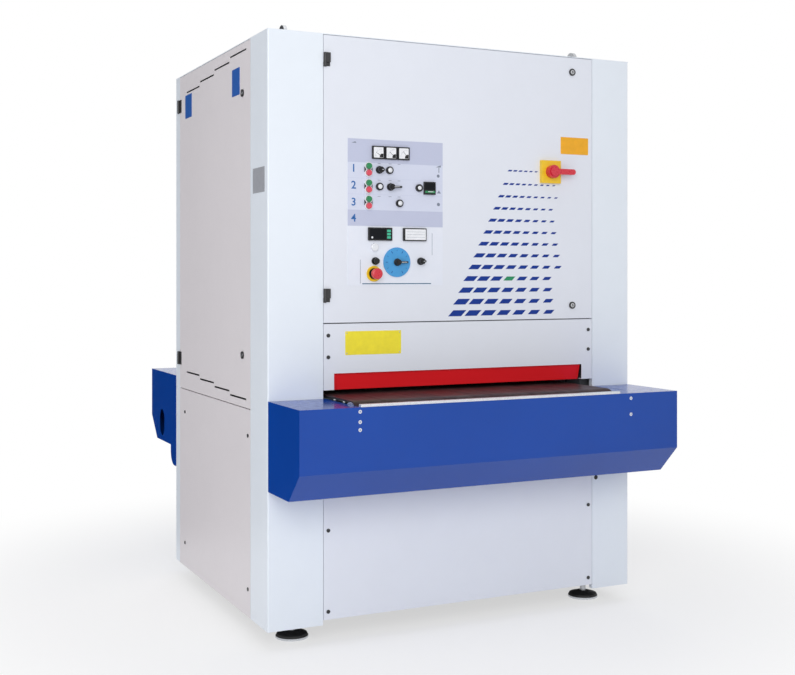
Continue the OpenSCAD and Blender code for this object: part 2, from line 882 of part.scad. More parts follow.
module unit_frame() machine() color("slategray") {
  left = feed_x - arm_in - arm_t;
  right = feed_x + arm_in;
  half = beam_w / 2;
  difference() {
    union() {
      // Beam inside the abrasive belt, with the two guide rods and the yoke's cylinder
      tube([left + arm_t + split, abr_y - half, beam_low], [right - split, abr_y + half, beam_high], beam_wall, 0);
      for (x = [feed_x - rod_x, feed_x + rod_x])
        rod_z(x, abr_y, beam_high - over, rod_r, yoke_top - beam_wall - beam_high);
      rod_z(feed_x, abr_y, beam_high - over, cylinder_r, yoke_low - yoke_travel - hang - beam_high);
      // Left arm of the contact roller
      block([left, abr_y - arm_w / 2, contact_z - arm_w / 2], [left + arm_t, abr_y + arm_w / 2, beam_high]);
      // Wall on the right and the blocks that carry it
      block([right, wall_front, wall_low], [right + arm_t, wall_back, wall_top]);
      for (y = [wall_front, post_back - post_w / 2 - split - tube_w])
        block([right + arm_t + split, y, right_beam_z], [post_x - tube_w / 2, y + tube_w, right_beam_z + tube_h]);
    }
    rod_x(left - over, abr_y, contact_z, contact_shaft_r + fit, right - left + 2 * arm_t);
    rod_x(right - over, press2_y, press_z, press_shaft_r + fit, arm_t + 2 * over);
    rod_x(right - over, brush_y, brush_z, brush_shaft_r + fit, arm_t + 2 * over);
    rod_x(right - over, motor_y, motor_z, shaft_hole_r, arm_t + 2 * over);
    rod_z(feed_x, abr_y, beam_high - 2 * beam_wall, rod_r / 2 + fit, beam_h);
  }
}

module roller_brackets() machine() color("slategray") {
  left = feed_x - arm_in - arm_t;
  back = foot_y + tube_w / 2;
  // Arms of the first hold-down roller
  for (x = [feed_x - press_half - press_arm_t - hang, feed_x + press_half + hang])
    difference() {
      block([x, back, press_z - press_r + hang], [x + press_arm_t, press1_y + press_r, front_beam_z + tube_h]);
      rod_x(x - over, press1_y, press_z, press_shaft_r + fit, press_arm_t + 2 * over);
    }
  // Left arm of the brush roller and the second hold-down roller
  difference() {
    block([left + hang, press2_y - press_r, press_z - press_r + hang],
          [left + arm_t, wall_back, rear_beam_z + tube_h]);
    rod_x(left - over, press2_y, press_z, press_shaft_r + fit, arm_t + 2 * over);
    rod_x(left - over, brush_y, brush_z, brush_shaft_r + fit, arm_t + 2 * over);
  }
}

module drive_motors() machine() color("steelblue") {
  right = feed_x + arm_in;
  difference() {
    union() {
      rod_x(right - flange_t, motor_y, motor_z, flange_r, flange_t);
      rod_x(right - motor_l, motor_y, motor_z, motor_r, motor_l - flange_t + over);
      block([right - motor_l / 2 - arm_w / 2, motor_y - arm_w / 2, motor_z],
            [right - motor_l / 2 + arm_w / 2, motor_y + arm_w / 2, motor_z + motor_r + 2 * arm_t]);
    }
    rod_x(right - 2 * arm_t, motor_y, motor_z, motor_shaft_r + fit, 3 * arm_t);
  }
  difference() {
    union() {
      rod_x(right + arm_t, brush_y, brush_z, brush_motor_r, flange_t);
      rod_x(right + arm_t, brush_y, brush_z, brush_motor_r - arm_t / 2, brush_motor_l);
    }
    rod_x(right, brush_y, brush_z, brush_shaft_r + fit, 3 * arm_t);
  }
}

// Outline around two circles in the YZ plane, drawn as 2D with Y across and Z up
module around(p, q, rp, rq) {
  d = q - p;
  len = norm(d);
  turn = asin((rp - rq) / len);
  translate(p)
    circle(rp);
  translate(q)
    circle(rq);
  translate(p)
    rotate(atan2(d[1], d[0]) - 90)
      polygon([
        [rp * cos(turn), rp * sin(turn)], [rq * cos(turn), len + rq * sin(turn)],
        [-rq * cos(turn), len + rq * sin(turn)], [-rp * cos(turn), rp * sin(turn)]
      ]);
}

// Closed belt round two circles, its inner radii given, from x0 over its width
module loop_belt(x0, width, p, q, rp, rq, t) {
  translate([x0, 0, 0])
    rotate([90, 0, 90])
      linear_extrude(width)
        difference() {
          around(p, q, rp + t, rq + t);
          around(p, q, rp, rq);
        }
}

module drive_belt() machine() color("black")
  loop_belt(feed_x + pulley_in + (pulley_w - vbelt_w) / 2, vbelt_w, [abr_y, contact_z], [motor_y, motor_z],
            contact_pulley_r + split, motor_pulley_r + split, vbelt_t);

module abrasive_belt() machine() color("saddlebrown")
  loop_belt(feed_x - abr_half, abr_w, [abr_y, contact_z], [abr_y, tension_z], contact_r + split,
            contact_r + split, abr_t);

// Flat hood with its neck and riser, its riser reaching the roof
module hood(y, riser_y) {
  wall = [duct_t, duct_t, 0];
  flat_lo = [feed_x - hood_half, y, hood_low];
  flat_hi = [feed_x + hood_half, y + hood_d, hood_top];
  neck_lo = [riser_x - spigot_r - arm_t, min(y, riser_y - spigot_r - arm_t / 2), hood_top - duct_t];
  neck_hi = [riser_x + spigot_r + arm_t, max(y + hood_d, riser_y + spigot_r + arm_t / 2), hood_top + hood_neck];
  difference() {
    union() {
      block(flat_lo, flat_hi);
      block(neck_lo, neck_hi);
      rod_z(riser_x, riser_y, hood_top, spigot_r, under_roof - hood_top);
    }
    block(flat_lo + wall - [0, 0, over], flat_hi - wall - [0, 0, duct_t]);
    block(neck_lo + wall + [0, 0, duct_t], neck_hi - wall - [0, 0, duct_t]);
    block([neck_lo[0] + duct_t, y + duct_t, hood_top - 2 * tube_w],
          [neck_hi[0] - duct_t, y + hood_d - duct_t, hood_top + hood_neck - duct_t]);
    rod_z(riser_x, riser_y, hood_top + hood_neck / 2, spigot_r - duct_t, under_roof);
  }
}

module suction_hoods() machine() color("silver") {
  hood(hood1_y, riser1_y);
  hood(hood2_y, riser2_y);
}

module electrical_gear() machine() color("lightgray") {
  gear_y = foot_y + gear_gap;
  x0 = door_left + 2 * arm_t;
  x1 = door_right - 2 * arm_t;
  top = under_roof - tube_h / 2;
  low = door_bottom + tube_h;
  // Mounting plate with its two hangers on the front top rail
  block([x0, gear_y, low], [x1, gear_y + sheet_t, top]);
  for (x = [x0 + tube_h, x1 - 2 * tube_h])
    block([x, foot_y + tube_w / 2, top - tube_w / 2], [x + tube_w, gear_y, top]);
  // Inverters, contactors and terminal blocks, in rows from left to right
  for (k = [0:len(gear_counts) - 1]) {
    pitch = gear_row_shares[k][0] * (x1 - x0) / gear_counts[k];
    for (i = [0:gear_counts[k] - 1])
      translate([x0 + tube_h + i * pitch, gear_y - split, low + gear_row_shares[k][1] * (top - low)])
        mirror([0, 1, 0])
          cube([pitch - arm_t, gear_depths[k], gear_row_shares[k][2] * (top - low)]);
  }
}

module lift_drive() machine() color("gray") {
  half = jack_box_w / 2;
  z = foot_gap + tube_h;
  shaft_z = z + jack_box_h / 2;
  four_jacks()
    difference() {
      block([-half, -half, z], [half, half, z + jack_box_h]);
      rod_z(0, 0, z - over, jack_r + fit, jack_box_h + 2 * over);
    }
  // Middle gearboxes, shaft tubes and the lift motor
  for (y = [jack_front, jack_back]) {
    block([feed_x - half, y - half, z], [feed_x + half, y + half, z + jack_box_h]);
    for (x = [feed_x - jack_x + half + split, feed_x + half + split])
      rod_x(x, y, shaft_z, lift_tube_r, jack_x - 2 * half - 2 * split);
  }
  rod_y(feed_x, jack_front + half + split, shaft_z, lift_tube_r, jack_back - jack_front - 2 * half - 2 * split);
  rod_z(feed_x, jack_front, z + jack_box_h + split, lift_motor_r, lift_motor_l);
}

// Fixed half of a front door hinge: a foot on the column's return flange and the pin
module front_hinge_foot(z) {
  block([door_left, front_axis_y, z], [front_axis_x, return_w, z + front_foot_h]);
  rod_z(front_axis_x, front_axis_y, z, hinge_r, front_foot_h);
  rod_z(front_axis_x, front_axis_y, z, hinge_pin_r, front_leaf_h - over);
}

// Fixed half of a side door hinge: a leaf on the rear strip, two knuckles and the pin
module side_hinge_foot(z) {
  third = side_leaf_h / 3;
  block([-half_w - leaf_t, side_axis_y + hinge_r + hang, z],
        [-half_w, side_axis_y + side_leaf_w, z + side_leaf_h]);
  for (k = [z, z + 2 * third]) {
    rod_z(side_axis_x, side_axis_y, k, hinge_r, third);
    block([-half_w - leaf_t, side_axis_y, k], [-half_w - split, side_axis_y + hinge_r + hang, k + third]);
  }
  rod_z(side_axis_x, side_axis_y, z, hinge_pin_r, side_leaf_h);
}

front_hinge_z = [door_bottom + front_hinge_lift - front_leaf_h / 2, cab_top - front_hinge_drop - front_leaf_h / 2];
side_hinge_z = [side_seam_z + side_hinge_lift - side_leaf_h / 2, cab_top - side_hinge_drop - side_leaf_h / 2];

module fixed_hinge_leaves() machine() color("#222222") {
  for (z = front_hinge_z)
    front_hinge_foot(z);
  for (z = side_hinge_z)
    side_hinge_foot(z);
}

module front_door_hinges() machine() color("#222222")
  for (z = front_hinge_z) {
    low = z + front_foot_h + split;
    high = z + front_leaf_h;
    difference() {
      union() {
        rod_z(front_axis_x, front_axis_y, low, hinge_r, high - low);
        block([front_axis_x, -2 * hinge_r + hang, low], [door_left + front_leaf_w, 0, high]);
        block([front_axis_x + hinge_r + hang, -leaf_t, z], [door_left + front_leaf_w, 0, low + over]);
      }
      rod_z(front_axis_x, front_axis_y, z - over, hinge_pin_r + fit, front_leaf_h + 2 * over);
    }
  }

module left_door_hinges() machine() color("#222222")
  for (z = side_hinge_z) {
    third = side_leaf_h / 3;
    low = z + third + split;
    high = z + 2 * third - split;
    difference() {
      union() {
        block([-half_w - leaf_t, side_axis_y - side_leaf_w, z],
              [-half_w, side_axis_y - hinge_r - hang, z + side_leaf_h]);
        block([-half_w - leaf_t, side_axis_y - hinge_r - hang - over, low], [-half_w - split, side_axis_y, high]);
        rod_z(side_axis_x, side_axis_y, low, hinge_r, high - low);
      }
      rod_z(side_axis_x, side_axis_y, z - over, hinge_pin_r + fit, side_leaf_h + 2 * over);
    }
  }

// Holes through the front door and the control plate, for the stems of what moves on them
module control_holes() {
  translate([plate_x - half_w, -plate_t - over, plate_z]) {
    for (z = row_z, s = [-1, 1])
      rod_y(pair_x, 0, z + s * pair_dz, stem + fit, return_w);
    for (p = concat(selector_at, [reset_at, stop_at, dial_at]))
      rod_y(p[0], 0, p[1], stem + fit, return_w);
  }
  rod_y(switch_x, -over, switch_z, switch_shaft_r + fit, return_w);
}

lock_x = door_right - lock_in;
lock_top_z = under_roof - lock_top_in;
lock_low_z = door_bottom + lock_low_in;
side_lock_y = col_side + side_lock_in;

module front_door() machine() color("whitesmoke")
  difference() {
    pan(door_left + seam / 2, door_right - seam / 2, door_bottom + seam / 2, under_roof - seam / 2);
    control_holes();
    for (z = [lock_top_z, lock_low_z])
      rod_y(lock_x, -over, z, lock_shaft_r + fit, return_w);
    for (z = front_hinge_z)
      block([door_left, -over, z - hang],
            [front_axis_x + hinge_r + hang, return_w + over, z + front_foot_h + hang]);
  }

module control_plate() machine() color("lightsteelblue")
  difference() {
    block([plate_x - half_w, -plate_t, plate_z], [plate_x - half_w + plate_w, 0, plate_z + plate_h]);
    control_holes();
  }

// Places children at a point of the control plate's front, with Y running into the plate
module on_plate(x, z) {
  translate([plate_x - half_w + x, -plate_t, plate_z + z])
    children();
}

module panel_instruments() machine() color("#333333") {
  // Three meters, two displays and the square device
  for (i = [0:2])
    panel_box(on_plate_at(meter_share) + [(i - 1) * meter_pitch, 0], meter_w);
  for (p = display_share)
    panel_box(on_plate_at(p), display_w);
  panel_box(on_plate_at(device_share), meter_w);
  // Pilot lamps
  for (p = lamps)
    on_plate(p[0], p[1])
      rod_y(0, -lamp_d, 0, lamp_r, lamp_d);
  // Frames of the double push buttons
  for (z = row_z)
    on_plate(pair_x, z)
      difference() {
        union() {
          block([-pair_r, -button_frame_d, -pair_dz], [pair_r, 0, pair_dz]);
          for (s = [-1, 1])
            rod_y(0, -button_frame_d, s * pair_dz, pair_r, button_frame_d);
        }
        for (s = [-1, 1])
          rod_y(0, -button_frame_d - over, s * pair_dz, button_r + split, button_frame_d + 2 * over);
      }
  // Collars of the selectors, the reset button and the emergency stop, and the dial's scale
  for (p = concat(selector_at, [reset_at]))
    collar(p, selector_r, button_frame_d);
  collar(stop_at, stop_base_r, stop_base_d);
  collar(dial_at, dial_r, dial_t);
  // Contact blocks behind the door
  for (z = row_z, s = [-1, 1])
    contact_block([pair_x, z + s * pair_dz], pair_dz - split);
  for (p = concat(selector_at, [reset_at, stop_at, dial_at]))
    contact_block(p, block_r);
}

// Box of an instrument on the plate, of the given width, round its middle
module panel_box(p, w) {
  on_plate(p[0], p[1])
    block([-w / 2, -meter_d, -meter_w / 2], [w / 2, 0, meter_w / 2]);
}

module collar(p, r, d) {
  on_plate(p[0], p[1])
    difference() {
      rod_y(0, -d, 0, r, d);
      rod_y(0, -d - over, 0, stem + fit, d + 2 * over);
    }
}

module contact_block(p, r) {
  on_plate(p[0], p[1])
    translate([0, plate_t + sheet_t + split, 0])
      difference() {
        rod_y(0, 0, 0, r, block_len);
        rod_y(0, -over, 0, stem + fit, block_len - block_r + over);
      }
}

module switch_plate() machine() color("gold") {
  half = switch_w / 2;
  translate([switch_x, 0, switch_z]) {
    difference() {
      block([-half, -switch_base_d - switch_face_t, -half], [half, 0, half]);
      rod_y(0, -switch_w, 0, switch_shaft_r + fit, 2 * switch_w);
    }
    difference() {
      block([-isolator_w / 2, sheet_t + split, -isolator_w / 2],
            [isolator_w / 2, sheet_t + isolator_d, isolator_w / 2]);
      rod_y(0, 0, 0, switch_shaft_r + fit, isolator_d / 2 + over);
    }
  }
}

module main_switch_lever() machine() color("crimson") {
  face = -switch_base_d - switch_face_t - split;
  translate([switch_x, face, switch_z]) {
    rod_y(0, -hub_d, 0, hub_r, hub_d);
    rod_y(0, -hub_d - lever_t / 3, 0, hub_r * lever_share, lever_t / 3 + over);
    block([0, -hub_d - lever_t / 3, -lever_w / 2], [lever_len - lever_w / 2, -hub_d + 2 * lever_t / 3, lever_w / 2]);
    rod_y(lever_len - lever_w / 2, -hub_d - lever_t / 3, 0, lever_w / 2, lever_t);
    rod_y(0, -over, 0, switch_shaft_r, -face + isolator_d / 2 + over);
  }
}

module left_door() machine() color("gainsboro")
  difference() {
    side_pan(col_side + seam / 2, side_axis_y - seam / 2, side_seam_z + seam / 2, under_roof - seam / 2);
    side_slots();
    for (z = [side_lock_top_z, side_lock_low_z])
      rod_x(-half_w - over, side_lock_y, z, lock_shaft_r + fit, return_w);
  }

// Quarter-turn lock with its axis along Y, its cam pointing to -X behind the sheet
module lock(cam_len) {
  rod_y(0, -lock_proud, 0, lock_r, lock_proud);
  rod_y(0, -over, 0, lock_shaft_r, cam_back + cam_t + over);
  block([-cam_len, cam_back, -cam_w / 2], [0, cam_back + cam_t, cam_w / 2]);
}

// The same lock on the left side, its axis along X and its cam pointing down
module side_lock(z) {
  translate([-half_w, side_lock_y, z])
    rotate([0, 0, -90])
      rotate([0, -90, 0])
        lock(side_cam);
}

module front_lock_top() machine() color("#222222")
  translate([lock_x, 0, lock_top_z])
    lock(front_cam);

module front_lock_bottom() machine() color("#222222")
  translate([lock_x, 0, lock_low_z])
    lock(front_cam);

module side_lock_top() machine() color("#222222")
  side_lock(side_lock_top_z);

module side_lock_bottom() machine() color("#222222")
  side_lock(side_lock_low_z);

// Round head on a stem that runs through the control plate and the door
module plunger(x, z, r, front, head) {
  on_plate(x, z) {
    rod_y(0, -front, 0, r, head);
    rod_y(0, -front + over, 0, stem, front + plate_t + sheet_t + 2 * stem);
  }
}

module push_button(row, side) {
  plunger(pair_x, row_z[row] + side * pair_dz, button_r, button_front, button_front - button_travel - over);
}

module start_button_1() machine() color("green") push_button(0, 1);

module start_button_2() machine() color("green") push_button(1, 1);

module start_button_3() machine() color("green") push_button(2, 1);

module stop_button_1() machine() color("red") push_button(0, -1);

module stop_button_2() machine() color("red") push_button(1, -1);

module stop_button_3() machine() color("red") push_button(2, -1);

module reset_button() machine() color("#222222")
  plunger(reset_at[0], reset_at[1], button_r, button_frame_d + button_front, button_front - button_travel - over);

module emergency_stop() machine() color("crimson") {
  plunger(stop_at[0], stop_at[1], stop_r, stop_front, stop_head);
  on_plate(stop_at[0], stop_at[1])
    rod_y(0, -stop_front + stop_head - over, 0, stop_r * stop_share, stop_head / 2);
}

// Selector with a ridge across its head; the second one has a long handle
module selector(i, len) {
  x = selector_at[i][0];
  z = selector_at[i][1];
  plunger(x, z, knob_r, button_frame_d + split + selector_head, selector_head);
  on_plate(x, z)
    block([-knob_r / 2, -button_frame_d - split - selector_head - sheet_t, -knob_r / 3],
          [len, -button_frame_d - split - selector_head / 3, knob_r / 3]);
}

module selector_1() machine() color("#222222") selector(0, knob_r + hang);

module selector_2() machine() color("#222222") selector(1, knob_len);

module selector_3() machine() color("#222222") selector(2, knob_r + hang);

module dial_knob() machine() color("#222222") {
  plunger(dial_at[0], dial_at[1], knob_r, dial_t + split + selector_head, selector_head);
  on_plate(dial_at[0], dial_at[1])
    block([-knob_r / 2, -dial_t - split - selector_head - sheet_t, -knob_r / 3],
          [knob_len, -dial_t - split - selector_head / 3, knob_r / 3]);
}

module safety_flap() machine() color("red")
  translate([flap_x, flap_y, flap_z]) {
    rod_x(-return_w / 2, 0, 0, flap_rod_r, flap_w + return_w);
    rotate([flap_lean, 0, 0])
      block([seam / 2, -flap_t / 2, -flap_len], [flap_w - seam / 2, flap_t / 2, 0]);
  }

// Plan of the bed's span between the two rollers
bed_front = idler_y + feed_r + feed_t + 2 * hang;
bed_back = drive_y - feed_r - feed_t - 2 * hang;
tie_pitch = (bed_back - bed_front) / tie_count;

module table_bed() machine() color("lightgray") {
  front = -in_reach + cover_t;
  back = cab_d + out_reach - cover_t;
  inner = rail_in - split;
  difference() {
    union() {
      block([feed_x - bed_half, bed_front, belt_low - split - bed_t], [feed_x + bed_half, bed_back, belt_low - split]);
      for (s = [-1, 1])
        block([feed_x + s * (rail_in + rail_t / 2) - rail_t / 2, front, rail_low],
              [feed_x + s * (rail_in + rail_t / 2) + rail_t / 2, back, rail_top]);
      for (i = [0:tie_count - 1])
        translate([feed_x, bed_front + i * tie_pitch + tie_pitch / 2, belt_low - split - bed_t])
          tube([-inner, -tie_w / 2, -tie_h], [inner, tie_w / 2, 0], tube_wall, 0);
      for (y = [jack_front, jack_back])
        translate([feed_x, y, rail_low])
          tube([-inner, -jack_beam_w / 2, 0], [inner, jack_beam_w / 2, jack_beam_h], tube_wall, 0);
      for (y = [idler_y, drive_y]) {
        rod_x(feed_x - rail_in - bearing_l, y, roller_z, bearing_r, bearing_l);
        rod_x(feed_x + rail_in, y, roller_z, bearing_r, bearing_l);
      }
    }
    for (y = [idler_y, drive_y])
      rod_x(feed_x - rail_in - bearing_l - over, y, roller_z, feed_shaft_r + fit, 2 * (rail_in + bearing_l + over));
  }
}

module conveyor_belt() machine() color("#3b2a2c")
  loop_belt(feed_x - belt_half, feed_w, [idler_y, roller_z], [drive_y, roller_z], feed_r + split, feed_r + split,
            feed_t);

// Side outline of a cover, from the cabinet at 0 outwards, drawn with Y across and Z up
module cover_outline(reach, t) {
  k = t * tan(22.5);
  polygon([
    [t > 0 ? -over : 0, cover_low + t], [reach - cover_bevel - k, cover_low + t],
    [reach - t, cover_low + cover_bevel + k], [reach - t, cover_top - t], [t > 0 ? -over : 0, cover_top - t]
  ]);
}

// Cover of one end of the table, drawn from its back edge at 0 outwards
module end_cover(reach) {
  len = reach - cover_gap;
  difference() {
    translate([-half_w, 0, 0])
      rotate([90, 0, 90])
        linear_extrude(cab_w)
          cover_outline(len, 0);
    translate([-half_w + cover_t, 0, 0])
      rotate([90, 0, 90])
        linear_extrude(cab_w - 2 * cover_t)
          cover_outline(len, cover_t);
    block([feed_x - belt_half - cover_t, -over, cover_top - 2 * cover_t],
          [feed_x + belt_half + cover_t, len - lip_w, cover_top + over]);
  }
}

module infeed_cover() machine() color("royalblue")
  translate([0, -cover_gap, 0])
    mirror([0, 1, 0])
      difference() {
        end_cover(in_reach);
        block([feed_x + belt_half + side_slit, -over, cover_top - 2 * cover_t],
              [feed_x + belt_half + side_slit + cover_gap, 2 * in_reach / 3, cover_top + over]);
      }

module outfeed_cover() machine() color("royalblue") {
  difference() {
    translate([0, cab_d + cover_gap, 0])
      union() {
        end_cover(out_reach);
        // Rounded guard that hangs from the left end
        block([-half_w, 0, cover_low - guard_drop + guard_r], [-half_w + cover_t, guard_w, cover_low + over]);
        block([-half_w, 0, cover_low - guard_drop], [-half_w + cover_t, guard_w - guard_r, cover_low]);
        intersection() {
          rod_x(-half_w, guard_w - guard_r, cover_low - guard_drop + guard_r, guard_r, cover_t);
          block([-half_w, 0, cover_low - guard_drop], [-half_w + cover_t, guard_w, cover_low]);
        }
      }
    // Hand hole with round ends
    for (z = [hand_z - hand_h / 2 + hand_w / 2, hand_z + hand_h / 2 - hand_w / 2])
      rod_x(-half_w - over, cab_d + hand_y, z, hand_w / 2, cover_t + 2 * over);
    block([-half_w - over, cab_d + hand_y - hand_w / 2, hand_z - hand_h / 2 + hand_w / 2],
          [-half_w + cover_t + over, cab_d + hand_y + hand_w / 2, hand_z + hand_h / 2 - hand_w / 2]);
  }
}

module jack_screws() machine() color("silver")
  four_jacks()
    rod_z(0, 0, jack_low, jack_r, rail_low - jack_low);

module conveyor_gearmotor() machine() color("steelblue") {
  x = feed_x + rail_in + bearing_l;
  half = gear_w / 2;
  difference() {
    block([x, drive_y - half, roller_z - half], [x + gear_w, drive_y + half, rail_top - split]);
    rod_x(x - over, drive_y, roller_z, feed_shaft_r + fit, gear_w / 2 + over);
  }
  rod_x(x + gear_w, drive_y, roller_z, half - hang, gear_l);
}

module feed_roller(y, right) {
  drum(feed_x - belt_half, y, roller_z, feed_r, feed_w, drum_wall, feed_shaft_r);
  rod_x(feed_x - rail_in - rail_t - bearing_l / 2, y, roller_z, feed_shaft_r,
        2 * rail_in + 2 * rail_t + bearing_l + right);
}

module drive_roller() machine() color("#555555")
  feed_roller(drive_y, gear_w / 2);

module idler_roller() machine() color("silver")
  feed_roller(idler_y, 0);

// Pulley with side rims, on a shaft of the given radius, its rims on both sides of the belt's track
module pulley(y, z, r, shaft_r) {
  x = feed_x + pulley_in;
  rim = (pulley_w - vbelt_w) / 2 - split;
  difference() {
    union() {
      rod_x(x, y, z, r, pulley_w);
      rod_x(x, y, z, r + vbelt_t, rim);
      rod_x(x + pulley_w - rim, y, z, r + vbelt_t, rim);
    }
    rod_x(x - over, y, z, shaft_r + fit, pulley_w + 2 * over);
  }
}

module contact_roller() machine() color("#444444") {
  left = feed_x - arm_in - arm_t;
  drum(feed_x - contact_half, abr_y, contact_z, contact_r, 2 * contact_half, drum_wall, contact_shaft_r);
  rod_x(left, abr_y, contact_z, contact_shaft_r, feed_x + pulley_in + pulley_w + hang - left);
  pulley(abr_y, contact_z, contact_pulley_r, contact_shaft_r);
}

module motor_pulley() machine() color("#444444") {
  start = feed_x + arm_in - arm_t;
  rod_x(start, motor_y, motor_z, motor_shaft_r, feed_x + pulley_in + pulley_w + hang - start);
  pulley(motor_y, motor_z, motor_pulley_r, motor_shaft_r);
}

module tension_yoke() machine() color("slategray") {
  half = yoke_w / 2;
  difference() {
    union() {
      block([feed_x - yoke_in - yoke_arm_t, abr_y - half, yoke_low],
            [feed_x + yoke_in + yoke_arm_t, abr_y + half, yoke_top]);
      for (x = [feed_x - yoke_in - yoke_arm_t, feed_x + yoke_in])
        block([x, abr_y - half, yoke_low], [x + yoke_arm_t, abr_y + half, tension_z + half]);
      rod_z(feed_x, abr_y, beam_high - yoke_travel, rod_r / 2, yoke_low - beam_high + yoke_travel + over);
    }
    for (x = [feed_x - rod_x, feed_x + rod_x])
      rod_z(x, abr_y, yoke_low - over, rod_r + fit, yoke_h + 2 * over);
    rod_x(feed_x - abr_half, abr_y, tension_z, tension_shaft_r + fit, abr_w);
  }
}

module tension_roller() machine() color("silver") {
  drum(feed_x - yoke_in + hang, abr_y, tension_z, contact_r, 2 * (yoke_in - hang), drum_wall, tension_shaft_r);
  rod_x(feed_x - yoke_in - yoke_arm_t, abr_y, tension_z, tension_shaft_r, 2 * (yoke_in + yoke_arm_t));
}

module brush_roller() machine() color("goldenrod") {
  left = feed_x - arm_in - arm_t;
  rod_x(feed_x - brush_half, brush_y, brush_z, brush_r, 2 * brush_half);
  rod_x(left, brush_y, brush_z, brush_shaft_r, 2 * arm_in + 3 * arm_t);
}

module hold_down_roller_1() machine() color("#444444") {
  rod_x(feed_x - press_half, press1_y, press_z, press_r, 2 * press_half);
  rod_x(feed_x - press_half - press_arm_t - hang, press1_y, press_z, press_shaft_r,
        2 * (press_half + press_arm_t + hang));
}

module hold_down_roller_2() machine() color("#444444") {
  rod_x(feed_x - press_half, press2_y, press_z, press_r, 2 * press_half);
  rod_x(feed_x - arm_in - arm_t, press2_y, press_z, press_shaft_r, 2 * (arm_in + arm_t));
}

machine_frame();
corner_covers();
rear_covers();
roof_panel();
front_panels();
side_panels();
lifting_eyes();
foot_pads();
foot_stems();
panel_screws();
cable_gland();
unit_frame();
roller_brackets();
drive_motors();
drive_belt();
abrasive_belt();
suction_hoods();
electrical_gear();
lift_drive();
fixed_hinge_leaves();
front_door();
front_door_hinges();
control_plate();
panel_instruments();
switch_plate();
left_door();
left_door_hinges();
front_lock_top();
front_lock_bottom();
side_lock_top();
side_lock_bottom();
main_switch_lever();
emergency_stop();
start_button_1();
start_button_2();
start_button_3();
stop_button_1();
stop_button_2();
stop_button_3();
reset_button();
selector_1();
selector_2();
selector_3();
dial_knob();
safety_flap();
table_bed();
conveyor_belt();
infeed_cover();
outfeed_cover();
jack_screws();
conveyor_gearmotor();
drive_roller();
idler_roller();
contact_roller();
motor_pulley();
tension_yoke();
tension_roller();
brush_roller();
hold_down_roller_1();
hold_down_roller_2();
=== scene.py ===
# Through-feed belt and brush finishing machine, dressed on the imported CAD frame.
import math

import bmesh
import bpy
from mathutils import Matrix, Vector

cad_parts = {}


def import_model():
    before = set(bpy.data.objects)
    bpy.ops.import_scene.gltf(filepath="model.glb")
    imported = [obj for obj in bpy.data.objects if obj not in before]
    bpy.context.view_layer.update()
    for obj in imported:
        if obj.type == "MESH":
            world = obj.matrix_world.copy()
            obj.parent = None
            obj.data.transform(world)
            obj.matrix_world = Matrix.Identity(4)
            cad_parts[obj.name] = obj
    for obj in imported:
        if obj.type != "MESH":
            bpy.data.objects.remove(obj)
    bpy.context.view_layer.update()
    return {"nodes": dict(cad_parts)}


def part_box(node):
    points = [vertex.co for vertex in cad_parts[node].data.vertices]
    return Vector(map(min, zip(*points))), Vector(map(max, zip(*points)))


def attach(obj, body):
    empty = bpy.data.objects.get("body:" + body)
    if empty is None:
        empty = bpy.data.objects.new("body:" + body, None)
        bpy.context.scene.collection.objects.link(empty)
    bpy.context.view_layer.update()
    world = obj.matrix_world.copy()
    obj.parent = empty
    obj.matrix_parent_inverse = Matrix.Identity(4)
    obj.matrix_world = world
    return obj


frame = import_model()
NODES = frame["nodes"]

# Pieces are drawn in millimetres on the cabinet's faces
MM = 0.001

# The cabinet's left edge, front plane, width and depth, from the roof's box
ROOF_LOW, ROOF_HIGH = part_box("roof_panel")
LEFT = ROOF_LOW[0]
FRONT = ROOF_LOW[1]
CAB_W = (ROOF_HIGH[0] - LEFT) / MM
CAB_D = (ROOF_HIGH[1] - FRONT) / MM


def face(origin, u, v):
    """A face of the cabinet in millimetres: u and v lie in it and w points out of it."""
    w = Vector(u).cross(Vector(v))
    m = Matrix((Vector(u), Vector(v), w)).transposed().to_4x4()
    m.translation = Vector(origin)
    return m @ Matrix.Scale(MM, 4)


FRONT_FACE = face((LEFT, FRONT, 0), (1, 0, 0), (0, 0, 1))
BACK_FACE = face((LEFT + CAB_W * MM, FRONT + CAB_D * MM, 0), (-1, 0, 0), (0, 0, 1))
LEFT_FACE = face((LEFT, FRONT + CAB_D * MM, 0), (0, -1, 0), (0, 0, 1))
RIGHT_FACE = face((LEFT + CAB_W * MM, FRONT, 0), (0, 1, 0), (0, 0, 1))
TOP_FACE = face((LEFT, FRONT, 0), (1, 0, 0), (0, 1, 0))


# Colours
def linear(r, g, b):
    """A colour given as 0 to 255 sRGB values, as linear values."""
    out = []
    for c in (r, g, b):
        c = c / 255
        out.append(c / 12.92 if c <= 0.04045 else ((c + 0.055) / 1.055) ** 2.4)
    return tuple(out) + (1.0,)


def shade(colour, amount):
    """The colour with its light scaled by amount."""
    return tuple(c * amount for c in colour[:3]) + (1.0,)


WHITE = linear(236, 242, 249)
DOOR_WHITE = linear(232, 235, 243)
# The cabinet's white painted darker for the left side panels and left door: painted shade for the
# side turned away from the key light
SHADED_SIDE_WHITE = linear(232, 226, 228)
BLUE = linear(12, 70, 164)
RED = linear(250, 36, 44)
DUST = linear(150, 150, 150)
BELT_RUB = linear(120, 100, 96)
PLATE_TINT = linear(180, 200, 225)

# Materials: roughness under clear coats, and the part of a noise that a ramp spreads out
COAT_ROUGHNESS = 0.12
NOISE_LOW = 0.3
NOISE_HIGH = 0.7


